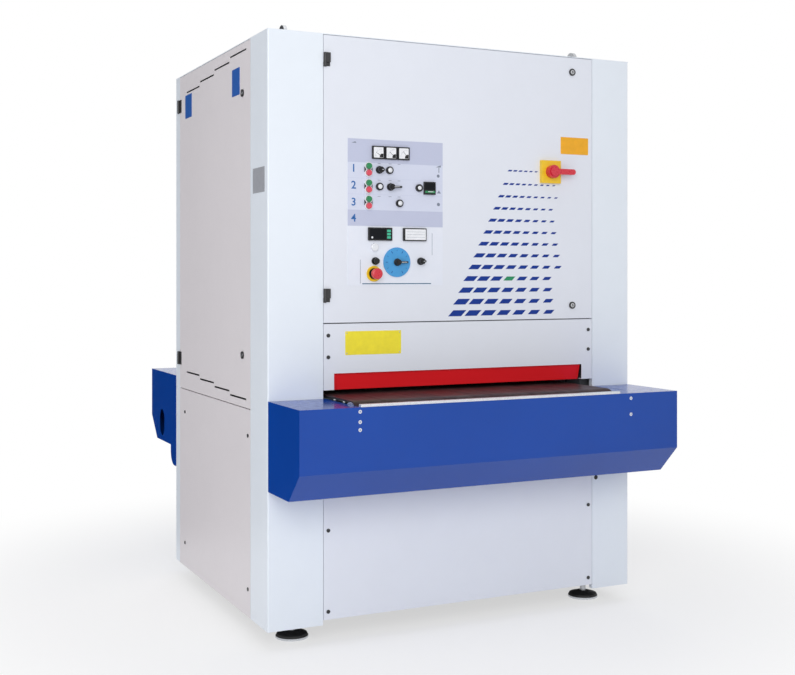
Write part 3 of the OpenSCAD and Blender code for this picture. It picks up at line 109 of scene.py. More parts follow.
class Surface:
    """A material under construction, with short calls for its nodes."""

    def __init__(self, name, rough, metal=0.0, coat=0.0, specular=0.5, sheen=0.0):
        self.material = bpy.data.materials.new(name)
        self.material.use_nodes = True
        self.tree = self.material.node_tree
        self.shader = self.tree.nodes["Principled BSDF"]
        self.set("Roughness", rough)
        self.set("Metallic", metal)
        self.set("Coat Weight", coat)
        self.set("Coat Roughness", COAT_ROUGHNESS)
        self.set("Specular IOR Level", specular)
        self.set("Sheen Weight", sheen)
        self.place = self.node("ShaderNodeTexCoord").outputs["Object"]

    def set(self, socket, value):
        self.shader.inputs[socket].default_value = value

    def node(self, kind, **values):
        n = self.tree.nodes.new(kind)
        for key, value in values.items():
            setattr(n, key, value)
        return n

    def link(self, a, b):
        self.tree.links.new(a, b)

    def stretched(self, scale):
        """The object's coordinates, scaled along each axis."""
        m = self.node("ShaderNodeMapping")
        m.inputs["Scale"].default_value = scale
        self.link(self.place, m.inputs["Vector"])
        return m.outputs["Vector"]

    def noise(self, scale, detail=2.0, place=None, rough=0.5):
        n = self.node("ShaderNodeTexNoise")
        n.inputs["Scale"].default_value = scale
        n.inputs["Detail"].default_value = detail
        n.inputs["Roughness"].default_value = rough
        self.link(place or self.place, n.inputs["Vector"])
        return n.outputs["Fac"]

    def cells(self, scale):
        """Distance to the middle of a Voronoi cell."""
        n = self.node("ShaderNodeTexVoronoi")
        n.inputs["Scale"].default_value = scale
        self.link(self.place, n.inputs["Vector"])
        return n.outputs["Distance"]

    def ramp(self, factor, low=0.0, high=1.0):
        """Spreads the middle of a noise from low to high."""
        n = self.node("ShaderNodeMapRange")
        n.inputs["To Min"].default_value = low
        n.inputs["To Max"].default_value = high
        n.inputs["From Min"].default_value = NOISE_LOW
        n.inputs["From Max"].default_value = NOISE_HIGH
        self.link(factor, n.inputs["Value"])
        return n.outputs["Result"]

    def mix(self, factor, a, b):
        n = self.node("ShaderNodeMix", data_type="RGBA")
        for socket, value in ((n.inputs["Factor"], factor), (n.inputs["A"], a), (n.inputs["B"], b)):
            if isinstance(value, (tuple, float)):
                socket.default_value = value
            else:
                self.link(value, socket)
        return n.outputs["Result"]

    def colour(self, socket):
        self.link(socket, self.shader.inputs["Base Color"])

    def roughness(self, factor, low, high):
        """Roughness that follows a noise from low to high."""
        self.link(self.ramp(factor, low, high), self.shader.inputs["Roughness"])

    def bump(self, height, distance):
        n = self.node("ShaderNodeBump")
        n.inputs["Distance"].default_value = distance
        self.link(height, n.inputs["Height"])
        self.link(n.outputs["Normal"], self.shader.inputs["Normal"])


def paint(name, colour, rough, tone, dust, peel=900.0, peel_depth=0.00004, specular=0.5):
    """Powder coat: orange peel, slow changes of tone and a little dust in blotches."""
    s = Surface(name, rough, specular=specular)
    slow = s.ramp(s.noise(scale=2.3, detail=3.0))
    base = s.mix(slow, shade(colour, 1 - tone), colour)
    blotch = s.ramp(s.noise(scale=14.0, detail=5.0, rough=0.65), 0.0, dust)
    s.colour(s.mix(blotch, base, DUST))
    s.roughness(s.noise(scale=60.0, detail=3.0), rough - 0.05, rough + 0.06)
    s.bump(s.noise(peel), peel_depth)
    return s.material


def plastic(name, colour, rough, coat=0.0, grain=1800.0, depth=0.00002, specular=0.5):
    """Moulded plastic: fine erosion grain and faint rub marks."""
    s = Surface(name, rough, coat=coat, specular=specular)
    rub = s.ramp(s.noise(scale=45.0, detail=4.0))
    s.colour(s.mix(rub, shade(colour, 0.9), colour))
    s.roughness(s.noise(scale=150.0), rough - 0.05, rough + 0.07)
    s.bump(s.noise(grain, detail=1.0), depth)
    return s.material


def brushed(name, colour, rough, metal=1.0):
    """Metal with fine lines along its X axis."""
    s = Surface(name, rough, metal=metal)
    along = (3.0, 220.0, 220.0)
    lines = s.noise(6.0, 3.0, s.stretched(along))
    s.colour(s.mix(s.ramp(lines), shade(colour, 0.82), colour))
    s.roughness(s.noise(9.0, 3.0, s.stretched(along)), rough - 0.08, rough + 0.1)
    s.bump(lines, 0.00001)
    return s.material


def zinc(name, colour):
    """Galvanised or zinc-plated steel with its spangle."""
    s = Surface(name, 0.38, metal=1.0)
    s.colour(s.mix(s.cells(130.0), shade(colour, 0.8), colour))
    s.roughness(s.noise(scale=70.0, detail=3.0), 0.28, 0.46)
    s.bump(s.noise(500.0), 0.00002)
    return s.material


def belt_rubber(name, colour):
    """Dark conveyor belt: grain across its cover and lighter rub stripes along the feed."""
    s = Surface(name, 0.42, specular=0.12)
    stripe = s.noise(1.0, 4.0, s.stretched((28.0, 0.6, 6.0)))
    base = s.mix(s.ramp(stripe), shade(colour, 0.72), shade(colour, 1.35))
    s.colour(s.mix(s.ramp(s.noise(scale=35.0, detail=5.0), 0.0, 0.25), base, BELT_RUB))
    s.roughness(stripe, 0.34, 0.52)
    s.bump(s.noise(1.0, 2.0, s.stretched((900.0, 120.0, 900.0))), 0.00012)
    return s.material


def cloth_grit(name, colour):
    """Abrasive cloth: dense grit of light and dark grains."""
    s = Surface(name, 0.85, specular=0.3)
    grit = s.noise(scale=1500.0, detail=3.0, rough=0.8)
    s.colour(s.mix(s.ramp(grit), shade(colour, 0.6), shade(colour, 1.5)))
    s.bump(grit, 0.0004)
    return s.material


def bristle(name, colour):
    """Ends of packed brush filaments, with painted shade: lighter in the middle of each end and
    darker towards the gaps between them.
    """
    s = Surface(name, 0.7, specular=0.3, sheen=0.3)
    ends = s.cells(420.0)
    # Painted shade: the colour darkens from each end's middle to the gaps between the filaments
    s.colour(s.mix(ends, shade(colour, 1.4), shade(colour, 0.35)))
    s.bump(ends, 0.003)
    return s.material


def control_plate_material(low, high):
    """Printed bands of the control plate, from its lower to its upper edge."""
    s = Surface("plate_print", 0.42, coat=0.1)
    parts = s.node("ShaderNodeSeparateXYZ")
    s.link(s.place, parts.inputs["Vector"])
    span = s.node("ShaderNodeMapRange")
    span.inputs["From Min"].default_value = low
    span.inputs["From Max"].default_value = high
    s.link(parts.outputs["Z"], span.inputs["Value"])
    bands = s.node("ShaderNodeValToRGB")
    bands.color_ramp.interpolation = "CONSTANT"
    white = linear(233, 236, 245)
    pale = linear(214, 218, 235)
    mid = linear(194, 198, 220)
    line = linear(208, 212, 231)
    # Foot of each band, in millimetres over the plate's lower edge
    stops = [(0.0, white), (218.0, mid), (278.0, pale), (334.0, line), (336.0, pale),
             (394.0, line), (396.0, pale), (452.0, mid)]
    height = (high - low) / MM
    elements = bands.color_ramp.elements
    for k, (z, colour) in enumerate(stops):
        e = elements[k] if k < 2 else elements.new(z / height)
        e.position = z / height
        e.color = colour
    s.link(span.outputs["Result"], bands.inputs["Fac"])
    tint = s.ramp(s.noise(scale=30.0, detail=3.0), 0.0, 0.06)
    s.colour(s.mix(tint, bands.outputs["Color"], PLATE_TINT))
    s.roughness(s.noise(80.0), 0.36, 0.48)
    s.bump(s.noise(1400.0, detail=1.0), 0.00002)
    return s.material


PLATE_LOW, PLATE_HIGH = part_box("control_plate")

MAT = {
    "white": paint("cover_white", WHITE, 0.40, tone=0.02, dust=0.02),
    "door_white": paint("door_white", DOOR_WHITE, 0.38, tone=0.02, dust=0.02),
    # Left side panels and left door: the cabinet white with painted shade
    "side_white": paint("side_white", SHADED_SIDE_WHITE, 0.45, tone=0.025, dust=0.02),
    "blue": paint("cover_blue", BLUE, 0.18, tone=0.1, dust=0.0, peel_depth=0.000003,
                  specular=0.34),
    "red": paint("safety_red", RED, 0.36, tone=0.06, dust=0.0, specular=0.3),
    "frame": paint("frame_grey", linear(96, 100, 106), 0.5, tone=0.12, dust=0.1),
    "unit": paint("unit_grey", linear(128, 136, 142), 0.48, tone=0.12, dust=0.08),
    "motor": paint("motor_blue", linear(58, 84, 116), 0.42, tone=0.1, dust=0.08, peel=500.0),
    "hinge": paint("black_metal", linear(30, 30, 33), 0.42, tone=0.2, dust=0.06),
    "black": plastic("black_plastic", linear(20, 20, 23), 0.36, specular=0.35),
    "dark": plastic("dark_glass", linear(12, 16, 22), 0.16, specular=0.15),
    "gear": plastic("gear_plastic", linear(178, 180, 178), 0.5),
    "gear_dark": plastic("gear_dark", linear(58, 62, 66), 0.5),
    "duct": plastic("wiring_duct", linear(150, 156, 160), 0.55),
    "green": plastic("start_green", linear(18, 132, 76), 0.28, coat=0.3),
    "key_green": plastic("key_green", linear(58, 190, 150), 0.3, coat=0.2),
    "stop_red": plastic("stop_red", linear(214, 36, 56), 0.28, coat=0.3),
    "button_red": plastic("button_red", linear(222, 70, 90), 0.3, coat=0.3),
    "yellow": plastic("switch_yellow", linear(246, 204, 34), 0.34, coat=0.15),
    "label_yellow": plastic("label_yellow", linear(250, 232, 48), 0.4),
    "label_amber": plastic("label_amber", linear(246, 176, 30), 0.4),
    "label_blue": plastic("label_blue", linear(42, 98, 182), 0.4),
    "label_grey": plastic("label_grey", linear(168, 170, 176), 0.45),
    "dial_blue": plastic("dial_blue", linear(70, 158, 218), 0.38, coat=0.1),
    "ink_blue": plastic("ink_blue", linear(38, 104, 172), 0.5),
    "ink_deep": plastic("ink_deep", linear(14, 54, 144), 0.5, specular=0.25),
    "ink_green": plastic("ink_green", linear(26, 140, 92), 0.45),
    "ink_grey": plastic("ink_grey", linear(128, 136, 152), 0.5),
    "ink_teal": plastic("ink_teal", linear(36, 98, 126), 0.45),
    "lens": plastic("lamp_lens", linear(236, 238, 242), 0.2, coat=0.5),
    "enamel": plastic("meter_white", linear(244, 245, 248), 0.3, coat=0.4),
    "zinc": zinc("zinc_steel", linear(196, 198, 202)),
    "steel": brushed("bright_steel", linear(206, 208, 212), 0.24),
    "sheet": zinc("sheet_steel", linear(176, 180, 184)),
    "alloy": brushed("light_alloy", linear(222, 225, 230), 0.3, metal=0.7),
    "belt": belt_rubber("conveyor_cover", linear(42, 22, 28)),
    "rubber": plastic("black_rubber", linear(30, 30, 31), 0.62, grain=600.0, depth=0.00008),
    "cloth": cloth_grit("abrasive_cloth", linear(126, 62, 40)),
    "bristle": bristle("brush_fibre", linear(150, 118, 70)),
    "vbelt": plastic("vbelt_rubber", linear(24, 24, 25), 0.6, grain=900.0, depth=0.00006),
    "plate": control_plate_material(PLATE_LOW[2], PLATE_HIGH[2]),
}

# Which material each CAD node gets
DRESSED = {
    "white": ("corner_covers", "rear_covers", "roof_panel"),
    "door_white": ("front_panels", "front_door"),
    "side_white": ("side_panels", "left_door"),
    "blue": ("infeed_cover", "outfeed_cover"),
    "red": ("safety_flap",),
    "frame": ("machine_frame",),
    "unit": ("unit_frame", "roller_brackets", "lift_drive", "table_bed", "tension_yoke"),
    "motor": ("drive_motors", "conveyor_gearmotor"),
    "hinge": ("panel_screws", "fixed_hinge_leaves", "front_door_hinges", "left_door_hinges",
              "front_lock_top", "front_lock_bottom", "side_lock_top", "side_lock_bottom"),
    "black": ("cable_gland", "panel_instruments", "reset_button", "selector_1", "selector_2",
              "selector_3", "dial_knob"),
    "yellow": ("switch_plate",),
    "stop_red": ("main_switch_lever", "emergency_stop"),
    "green": ("start_button_1", "start_button_2", "start_button_3"),
    "button_red": ("stop_button_1", "stop_button_2", "stop_button_3"),
    "plate": ("control_plate",),
    "gear": ("electrical_gear",),
    "zinc": ("lifting_eyes", "foot_stems"),
    "sheet": ("suction_hoods",),
    "steel": ("jack_screws", "idler_roller", "motor_pulley", "tension_roller"),
    "rubber": ("foot_pads", "drive_roller", "contact_roller", "hold_down_roller_1",
               "hold_down_roller_2"),
    "vbelt": ("drive_belt",),
    "belt": ("conveyor_belt",),
    "cloth": ("abrasive_belt",),
    "bristle": ("brush_roller",),
}
for key, names in DRESSED.items():
    for name in names:
        mesh = NODES[name].data
        mesh.materials.clear()
        mesh.materials.append(MAT[key])

# Pieces: angle from which an edge is sharp, steps of a round corner and its least radius,
# and steps of a domed head
SHARP_ANGLE = math.radians(35.0)
CORNER_STEPS = 5
LEAST_R = 0.02
DOME_STEPS = 6


def add_mesh(name, bm, place, material, body):
    """Makes a piece of the drawn mesh, laid on a face of the cabinet."""
    mesh = bpy.data.meshes.new(name)
    bm.transform(place)
    bmesh.ops.recalc_face_normals(bm, faces=bm.faces)
    bm.to_mesh(mesh)
    bm.free()
    for p in mesh.polygons:
        p.use_smooth = True
    mesh.set_sharp_from_angle(angle=SHARP_ANGLE)
    mesh.materials.append(MAT[material])
    piece = bpy.data.objects.new(name, mesh)
    bpy.context.scene.collection.objects.link(piece)
    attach(piece, body)


def rounded(cx, cy, w, h, r):
    """Outline of a rectangle with round corners, drawn smaller by an inset."""
    def outline(inset):
        points = []
        a, b, q = w / 2 - inset, h / 2 - inset, max(r - inset, LEAST_R)
        for k, (sx, sy) in enumerate(((1, 1), (-1, 1), (-1, -1), (1, -1))):
            for i in range(CORNER_STEPS + 1):
                t = math.pi / 2 * (k + i / CORNER_STEPS)
                points.append((cx + sx * (a - q) + q * math.cos(t),
                               cy + sy * (b - q) + q * math.sin(t)))
        return points
    return outline


def polygon_outline(points):
    """Outline of a convex polygon, drawn smaller towards its middle by an inset."""
    cx = sum(p[0] for p in points) / len(points)
    cy = sum(p[1] for p in points) / len(points)

    def outline(inset):
        out = []
        for x, y in points:
            d = math.hypot(x - cx, y - cy)
            k = (d - inset) / d
            out.append((cx + (x - cx) * k, cy + (y - cy) * k))
        return out
    return outline


def spoke(cx, cy, degrees, inner, outer, half_in, half_out):
    """Outline of a bar that points away from (cx, cy), given by radii and half widths."""
    t = math.radians(degrees)
    ex, ey = math.cos(t), math.sin(t)
    corners = ((inner, -half_in), (inner, half_in), (outer, half_out), (outer, -half_out))
    return polygon_outline([(cx + r * ex + side * ey, cy + r * ey - side * ex)
                            for r, side in corners])


def raise_outline(bm, outline, base, height, edge):
    """Adds a plate with a broken front edge, its back at base and its front at base + height."""
    rings = []
    for inset, w in ((0, base), (0, base + height - edge), (edge, base + height)):
        rings.append([bm.verts.new((x, y, w)) for x, y in outline(inset)])
    count = len(rings[0])
    for low, high in zip(rings, rings[1:]):
        for i in range(count):
            j = (i + 1) % count
            bm.faces.new((low[i], low[j], high[j], high[i]))
    bm.faces.new(rings[-1])
    bm.faces.new(list(reversed(rings[0])))


def plaque(name, outlines, base, height, edge, place, material, body):
    """One or more flat plates as one piece."""
    bm = bmesh.new()
    for outline in outlines if isinstance(outlines, list) else [outlines]:
        raise_outline(bm, outline, base, height, edge)
    add_mesh(name, bm, place, material, body)


def turned(name, profile, spots, place, material, body, segments):
    """Turned pieces: the profile's (radius, height) points spun round each spot's axis."""
    bm = bmesh.new()
    for cx, cy, base in spots:
        rings = []
        for r, w in profile:
            if r <= 0:
                rings.append([bm.verts.new((cx, cy, base + w))])
                continue
            angles = [2 * math.pi * i / segments for i in range(segments)]
            rings.append([bm.verts.new((cx + r * math.cos(t), cy + r * math.sin(t), base + w))
                          for t in angles])
        for low, high in zip(rings, rings[1:]):
            for i in range(segments):
                j = (i + 1) % segments
                a = low[i % len(low)], low[j % len(low)]
                b = high[j % len(high)], high[i % len(high)]
                corners = [v for k, v in enumerate(a + b) if v not in (a + b)[:k]]
                if len(corners) > 2:
                    bm.faces.new(corners)
    add_mesh(name, bm, place, material, body)


def dome(r, h, wall):
    """Profile of a low domed head on a short wall."""
    points = [(r, 0), (r, wall)]
    for i in range(1, DOME_STEPS + 1):
        t = math.pi / 2 * i / DOME_STEPS
        points.append((r * math.cos(t) if i < DOME_STEPS else 0, wall + h * math.sin(t)))
    return points


def button_cap(r, h, dish=0.6):
    """Profile of a flat round cap with a broken edge and a slightly dished face."""
    return [(r, 0), (r, h - 1), (r - 0.4, h - 0.3), (r - 1.2, h), (r - 2.2, h - 0.1),
            (0, h - dish)]


# Profiles of turned pieces, as points of radius and height
LAMP_BEZEL = [(13.9, 0), (13.9, 1.2), (13, 2), (10.5, 2), (10, 0.5)]
LAMP_SHADE = [(10.3, 4.2), (10.8, 0.5), (10.9, 0.2)]
RING_LAMP = [(7.5, 0.2), (7.5, 1.2), (6.5, 1.6), (0, 1.6)]
PALE_LAMP = [(14.3, -9), (14.3, 0.6), (13, 1.6), (9, 1.8), (8, 0.8), (0, 2.4)]
BUTTON_WASHER = [(15.3, -7), (15.3, 0.2), (14.6, 0.7), (11.8, 0.7), (11.5, 0)]
STOP_COLLAR = [(29.3, -4), (29.3, 0.1), (28.4, 0.9), (22, 0.9), (20.5, 0)]
STOP_FACE = [(20.2, -8), (20.6, -5), (20, -1.5), (17.5, 0.6), (13, 1.4), (6, 1.5), (0, 1.4)]
DIAL_DISC = [(55.3, -4), (55.3, 0.2), (54.7, 0.7), (13, 0.7), (12.8, 0.2)]
SELECTOR_SKIRT = [(12.6, 0), (12.6, 2.2), (11.4, 3.4), (10, 3.6)]
DIAL_SKIRT = [(14, 0), (14, 3), (12.5, 4.2), (10, 4.4)]
LOCK_INSERT = [(8.5, 0), (8.5, 0.5), (7.5, 1), (4.6, 1), (4.2, -2.2), (0, -2.2)]
PAN_HEAD = [(6.5, -1), (6.5, 0.03), (2.2, 0.05), (1.8, -0.8), (0, -0.8)]
PAD_RIM = [(52, 0), (60.8, 0), (61.2, 1.5), (60.8, 7.4), (57, 8.4)]
MOTOR_BOLT = [(8, -7), (8, -1), (7, 0), (0, 0)]

# Control plate: its lower left corner and thickness, in the front face's millimetres
PLATE_X = 309.0
PLATE_Z = 1298.0
PLATE_T = 1.5

# Places on the plate: rows and columns of small instruments, meters, displays, dial with its
# number of marks, and stop
ROW_Z = [PLATE_Z + z for z in (428, 366, 306)]
COLUMN_X = [PLATE_X + x for x in (126, 171, 208)]
METER_X = [PLATE_X + 172 + 52 * i for i in (-1, 0, 1)]
METER_Z = PLATE_Z + 492
BUTTON_X = PLATE_X + 81
BUTTON_RISE = 12.5
DISPLAY_X = PLATE_X + 128
WINDOW_X = PLATE_X + 271
DISPLAY_Z = PLATE_Z + 190
DEVICE_X = PLATE_X + 334
MARKS_X = PLATE_X + 376
DIAL = (PLATE_X + 198, PLATE_Z + 86)
DIAL_MARKS = 11
STOP = (PLATE_X + 104, PLATE_Z + 43)

# How far heads, washers and discs stand out from the door, and the height of the knobs
HEAD_W = PLATE_T + 9
WASHER_W = PLATE_T + 7
DISC_W = PLATE_T + 4
KNOB_H = 18.3

# Meters: size of a face, angles of the needles, and the hub and scale, which lie round a point
# this far right of and below the face's middle
METER_FACE = 39
NEEDLE_ANGLES = (150, 140, 128)
METER_SHIFT = 15
HUB_R = 11
HUB_TAIL = 3.5
SCALE_R = 30
SCALE_MARKS = 11


def on_head(name, outlines, material, lift, height, edge):
    """Flat piece on the black instrument heads of the control plate."""
    plaque(name, outlines, HEAD_W + lift, height, edge, FRONT_FACE, material, "front_door")


def printed(name, outlines, material, base=PLATE_T, height=0.25, edge=0.08):
    """Thin printed mark on the control plate."""
    plaque(name, outlines, base, height, edge, FRONT_FACE, material, "front_door")


def spun(name, profile, spots, material, node="front_door", segments=40):
    """Turned piece on the front face."""
    turned(name, profile, spots, FRONT_FACE, material, node, segments)


def meters():
    """Meter faces with their dark quarter hubs, needles and scales."""
    on_head("meter_faces", [rounded(x, METER_Z, METER_FACE, METER_FACE, 2) for x in METER_X],
            "enamel", 0, 0.8, 0.3)
    hubs, needles, scales = [], [], []
    for x, swing in zip(METER_X, NEEDLE_ANGLES):
        cx, cz = x + METER_SHIFT, METER_Z - METER_SHIFT
        arc = [(cx + HUB_R * math.cos(math.radians(t)), cz + HUB_R * math.sin(math.radians(t)))
               for t in range(90, 181, 10)]
        corners = [(cx - HUB_R, cz - HUB_TAIL), (cx + HUB_TAIL, cz - HUB_TAIL),
                   (cx + HUB_TAIL, cz + HUB_R)]
        hubs.append(polygon_outline(arc + corners))
        needles.append(spoke(cx, cz, swing, 10, 29, 0.7, 0.3))
        for k in range(SCALE_MARKS):
            inner = 27 if k % 5 else 25
            scales.append(spoke(cx, cz, 95 + 8 * k, inner, SCALE_R, 0.35, 0.35))
    on_head("meter_hubs", hubs, "black", 0.8, 0.6, 0.2)
    on_head("meter_needles", needles, "black", 0.8, 0.5, 0.05)
    on_head("meter_scales", scales, "ink_grey", 0.8, 0.15, 0.03)


def displays():
    """Display with keys, display with a white window, and the square device."""
    x, z = DISPLAY_X, DISPLAY_Z
    on_head("display_glass", rounded(x - 10, z, 66, 38, 2), "dark", 0, 0.5, 0.2)
    on_head("display_keys", [rounded(x + 34, z + dz, 15, 9, 2) for dz in (-12, 0, 12)],
            "key_green", 0, 1.4, 0.4)
    spun("display_dot", button_cap(4, 1.2, 0.2), [(x - 34, z - 13, HEAD_W + 0.3)], "lens",
         segments=24)
    x = WINDOW_X
    on_head("window_card", rounded(x + 2, z, 86, 40, 2), "enamel", 0, 0.5, 0.2)
    on_head("window_lines", [rounded(x + 3, z + dz, 76, 0.8, 0.3) for dz in (-10, 0, 10)],
            "ink_grey", 0.5, 0.15, 0.03)
    x, z = DEVICE_X, ROW_Z[1]
    on_head("device_screen", rounded(x, z + 7, 42, 26, 2), "dark", 0, 0.6, 0.2)
    on_head("device_strip", rounded(x, z - 14, 42, 8, 1), "green", 0, 0.6, 0.2)
    on_head("device_mark", rounded(x + 2, z - 13, 22, 2.2, 0.6), "lens", 0.6, 0.2, 0.05)


def lamps():
    """Lamps with a lens in a black bezel, and two pale ones without."""
    spots = [(PLATE_X + 167, ROW_Z[0]), (COLUMN_X[0], ROW_Z[1]), (COLUMN_X[2], ROW_Z[2])]
    spun("lamp_bezels", LAMP_BEZEL, [(x, z, HEAD_W - 0.2) for x, z in spots], "black")
    spots = [(x, z, HEAD_W) for x, z in spots]
    spun("lamp_lenses", dome(10, 5, 1), spots, "lens")
    spun("lamp_shades", LAMP_SHADE, spots, "black")
    spun("ring_lamp", RING_LAMP, [(PLATE_X + 290, ROW_Z[1], HEAD_W)], "lens")
    spun("pale_lamp", PALE_LAMP, [(PLATE_X + 106, PLATE_Z + 141, HEAD_W)], "lens")


def buttons():
    """Light frames and caps of the double buttons, and the emergency stop's collar and face."""
    spun("button_washers", BUTTON_WASHER,
         [(BUTTON_X, z + s * BUTTON_RISE, WASHER_W) for z in ROW_Z for s in (-1, 1)], "lens")
    for i, z in enumerate(ROW_Z):
        for kind, s, key, slot in (("start", 1, "green", "start_green"),
                                   ("stop", -1, "button_red", "switch_red")):
            node = "%s_button_%d" % (kind, i + 1)
            spun(node + "_cap", button_cap(11, 1.4),
                 [(BUTTON_X, z + s * BUTTON_RISE, PLATE_T + 13)], key, node, 32)
    spun("stop_collar", STOP_COLLAR, [(STOP[0], STOP[1], DISC_W)], "yellow")
    spun("stop_face", STOP_FACE, [(STOP[0], STOP[1], PLATE_T + 36)], "stop_red",
         "emergency_stop", 48)


def dial():
    """Light blue disc of the dial with its marks."""
    spun("dial_disc", DIAL_DISC, [(DIAL[0], DIAL[1], DISC_W)], "dial_blue",
         segments=72)
    marks = []
    for k in range(DIAL_MARKS):
        half, low, high = (1.1, 38, 47) if k % 2 == 0 else (0.6, 41, 47)
        marks.append(spoke(DIAL[0], DIAL[1], -60 + 30 * k, low, high, half, half))
    printed("dial_marks", marks, "ink_deep", DISC_W + 0.7, 0.15, 0.03)


def plate_marks():
    """Printed lines and small plain marks of the control plate."""
    printed("line_bottom", rounded(PLATE_X + 200, PLATE_Z + 6, 285, 3.4, 1), "ink_teal")
    printed("lines_upright", [rounded(PLATE_X + 50, PLATE_Z + 51, 1.6, 88, 0.5),
                              rounded(PLATE_X + 347, PLATE_Z + 155, 1.6, 83, 0.5)], "ink_grey")
    x = MARKS_X
    first, second, third = ROW_Z
    triangles = [[(x - 8, second - 18), (x + 8, second - 18), (x, second - 6)],
                 [(x - 14, PLATE_Z + 447), (x + 8, PLATE_Z + 447), (x + 8, PLATE_Z + 455)],
                 [(PLATE_X + 14, PLATE_Z + 524), (PLATE_X + 34, PLATE_Z + 524),
                  (PLATE_X + 30, PLATE_Z + 530)]]
    printed("side_marks", [rounded(x, first + 8, 3, 20, 1.4),
                           rounded(x - 3, first - 14, 12, 12, 5.8),
                           rounded(x - 2, third, 13, 13, 6.4)]
            + [polygon_outline(t) for t in triangles], "ink_grey")
    printed("row_marks", [rounded(x, z + 24, 12, 1.6, 0.6) for x in COLUMN_X for z in ROW_Z],
            "ink_grey")


# Plain row numbers of the control plate: place, size, thickness and boldness
NUMBER_X = 332
NUMBER_Z = (1728, 1666, 1604, 1545)
NUMBER_SIZE = 40.0
NUMBER_T = 0.15
NUMBER_BOLD = 0.7


def row_numbers():
    """The plain numbers 1 to 4 beside the rows."""
    for i, z in enumerate(NUMBER_Z):
        name = "row_number_%d" % (i + 1)
        curve = bpy.data.curves.new(name, "FONT")
        curve.body = str(i + 1)
        curve.size = NUMBER_SIZE
        curve.extrude = NUMBER_T
        curve.offset = NUMBER_BOLD
        curve.align_x = "CENTER"
        curve.align_y = "CENTER"
        text = bpy.data.objects.new("row_number_source", curve)
        bpy.context.scene.collection.objects.link(text)
        bpy.context.view_layer.update()
        depsgraph = bpy.context.evaluated_depsgraph_get()
        solid = bpy.data.meshes.new_from_object(text.evaluated_get(depsgraph))
        bpy.data.objects.remove(text)
        bm = bmesh.new()
        bm.from_mesh(solid)
        bmesh.ops.translate(bm, verts=bm.verts, vec=(NUMBER_X, z, PLATE_T + NUMBER_T))
        add_mesh(name, bm, FRONT_FACE, "ink_blue", "front_door")


# Selectors: node, place, and how far the grip reaches from the axis
SELECTORS = (("selector_1", COLUMN_X[0], ROW_Z[0], 13),
             ("selector_2", COLUMN_X[1], ROW_Z[1], 38),
             ("selector_3", PLATE_X + 297, PLATE_Z + 90, 13))


def knobs():
    """Light index lines and skirts of the selectors and the dial knob."""
    for node, x, z, reach in SELECTORS:
        plaque(node + "_index", rounded(x + reach / 2 - 1, z, reach * 0.6, 1.6, 0.6),
               WASHER_W + KNOB_H, 0.3, 0.1, FRONT_FACE, "lens", node)
        spun(node + "_skirt", SELECTOR_SKIRT, [(x, z, PLATE_T + 7.4)], "black", node)
    spun("dial_skirt", DIAL_SKIRT, [(DIAL[0], DIAL[1], PLATE_T + 4.9)], "black", "dial_knob")
    plaque("dial_index", rounded(DIAL[0] + 22, DIAL[1], 22, 1.8, 0.6), DISC_W + KNOB_H, 0.3, 0.1,
           FRONT_FACE, "lens", "dial_knob")


# Bare plates in place of the labels: thickness, and middle, width and height of riveted ones
LABEL_T = 0.8
YELLOW_PLATE = (412.5, 1086.5, 227, 87)
GREY_PLATE = (CAB_D - 97, 1680.5, 130, 91)


def bare_plates():
    """Bare plates on the front and the left side, two of them with a rivet near each corner."""
    def plate(name, outlines, place, material, body):
        plaque(name, outlines, 0.0, LABEL_T, 0.25, place, material, body)

    def rivets(name, label, across, up, place):
        spots = [(label[0] + sx * across, label[1] + sz * up, LABEL_T)
                 for sx in (-1, 1) for sz in (-1, 1)]
        turned(name, dome(2.4, 1.2, 0.1), spots, place, "zinc", "cabinet", 16)

    plate("yellow_plate", rounded(*YELLOW_PLATE, 3), FRONT_FACE, "label_yellow", "cabinet")
    plate("amber_plate", rounded(1301, 1855, 132, 68, 3), FRONT_FACE, "label_amber",
          "front_door")
    plate("blue_plates", [rounded(CAB_D - 1024.5, 2067.5, 100, 101, 3),
                          rounded(CAB_D - 364, 2074, 94, 104, 3)],
          LEFT_FACE, "label_blue", "left_door")
    plate("grey_plate", rounded(*GREY_PLATE, 3), LEFT_FACE, "label_grey", "cabinet")
    rivets("plate_rivets", YELLOW_PLATE, 107, 37, FRONT_FACE)
    rivets("grey_plate_rivets", GREY_PLATE, 59, 39, LEFT_FACE)


# Quarter-turn locks: node, face and place
LOCKS = (("front_lock_top", FRONT_FACE, 1289, 2151),
         ("front_lock_bottom", FRONT_FACE, 1289, 1215),
         ("side_lock_top", LEFT_FACE, CAB_D - 280, 2021),
         ("side_lock_bottom", LEFT_FACE, CAB_D - 280, 1035))


def lock_pieces():
    """Zinc inserts with a bar for the key in the quarter-turn locks' heads."""
    for node, place, u, v in LOCKS:
        turned(node + "_insert", LOCK_INSERT, [(u, v, 5)], place, "zinc", node, 32)
        plaque(node + "_bit", rounded(u, v, 6.5, 2.2, 0.5), 2.8, 2.6, 0.3, place, "zinc", node)


# Screws of the infeed cover: bright ones on its top, pan heads on its face
TOP_SCREWS = [(236, y, 887.1) for y in (-56, -143, -230)]
FACE_SCREWS = [(220, 872), (220, 837), (220, 810), (1345, 868), (1345, 807)]
COVER_OUT = 315
PAD_R = 0.06

# Light strip on the infeed lip and rubber strip on the back: middle, size and corner radius;
# and the height of the lip and the place of the plug in the right column
INFEED_STRIP = (760.5, -303.5, 1073, 22, 3)
BACK_STRIP = (CAB_W - 762, 931, 1076, 26, 3)
LIP_Z = 887.2
PLUG = (1405, 515, 0)


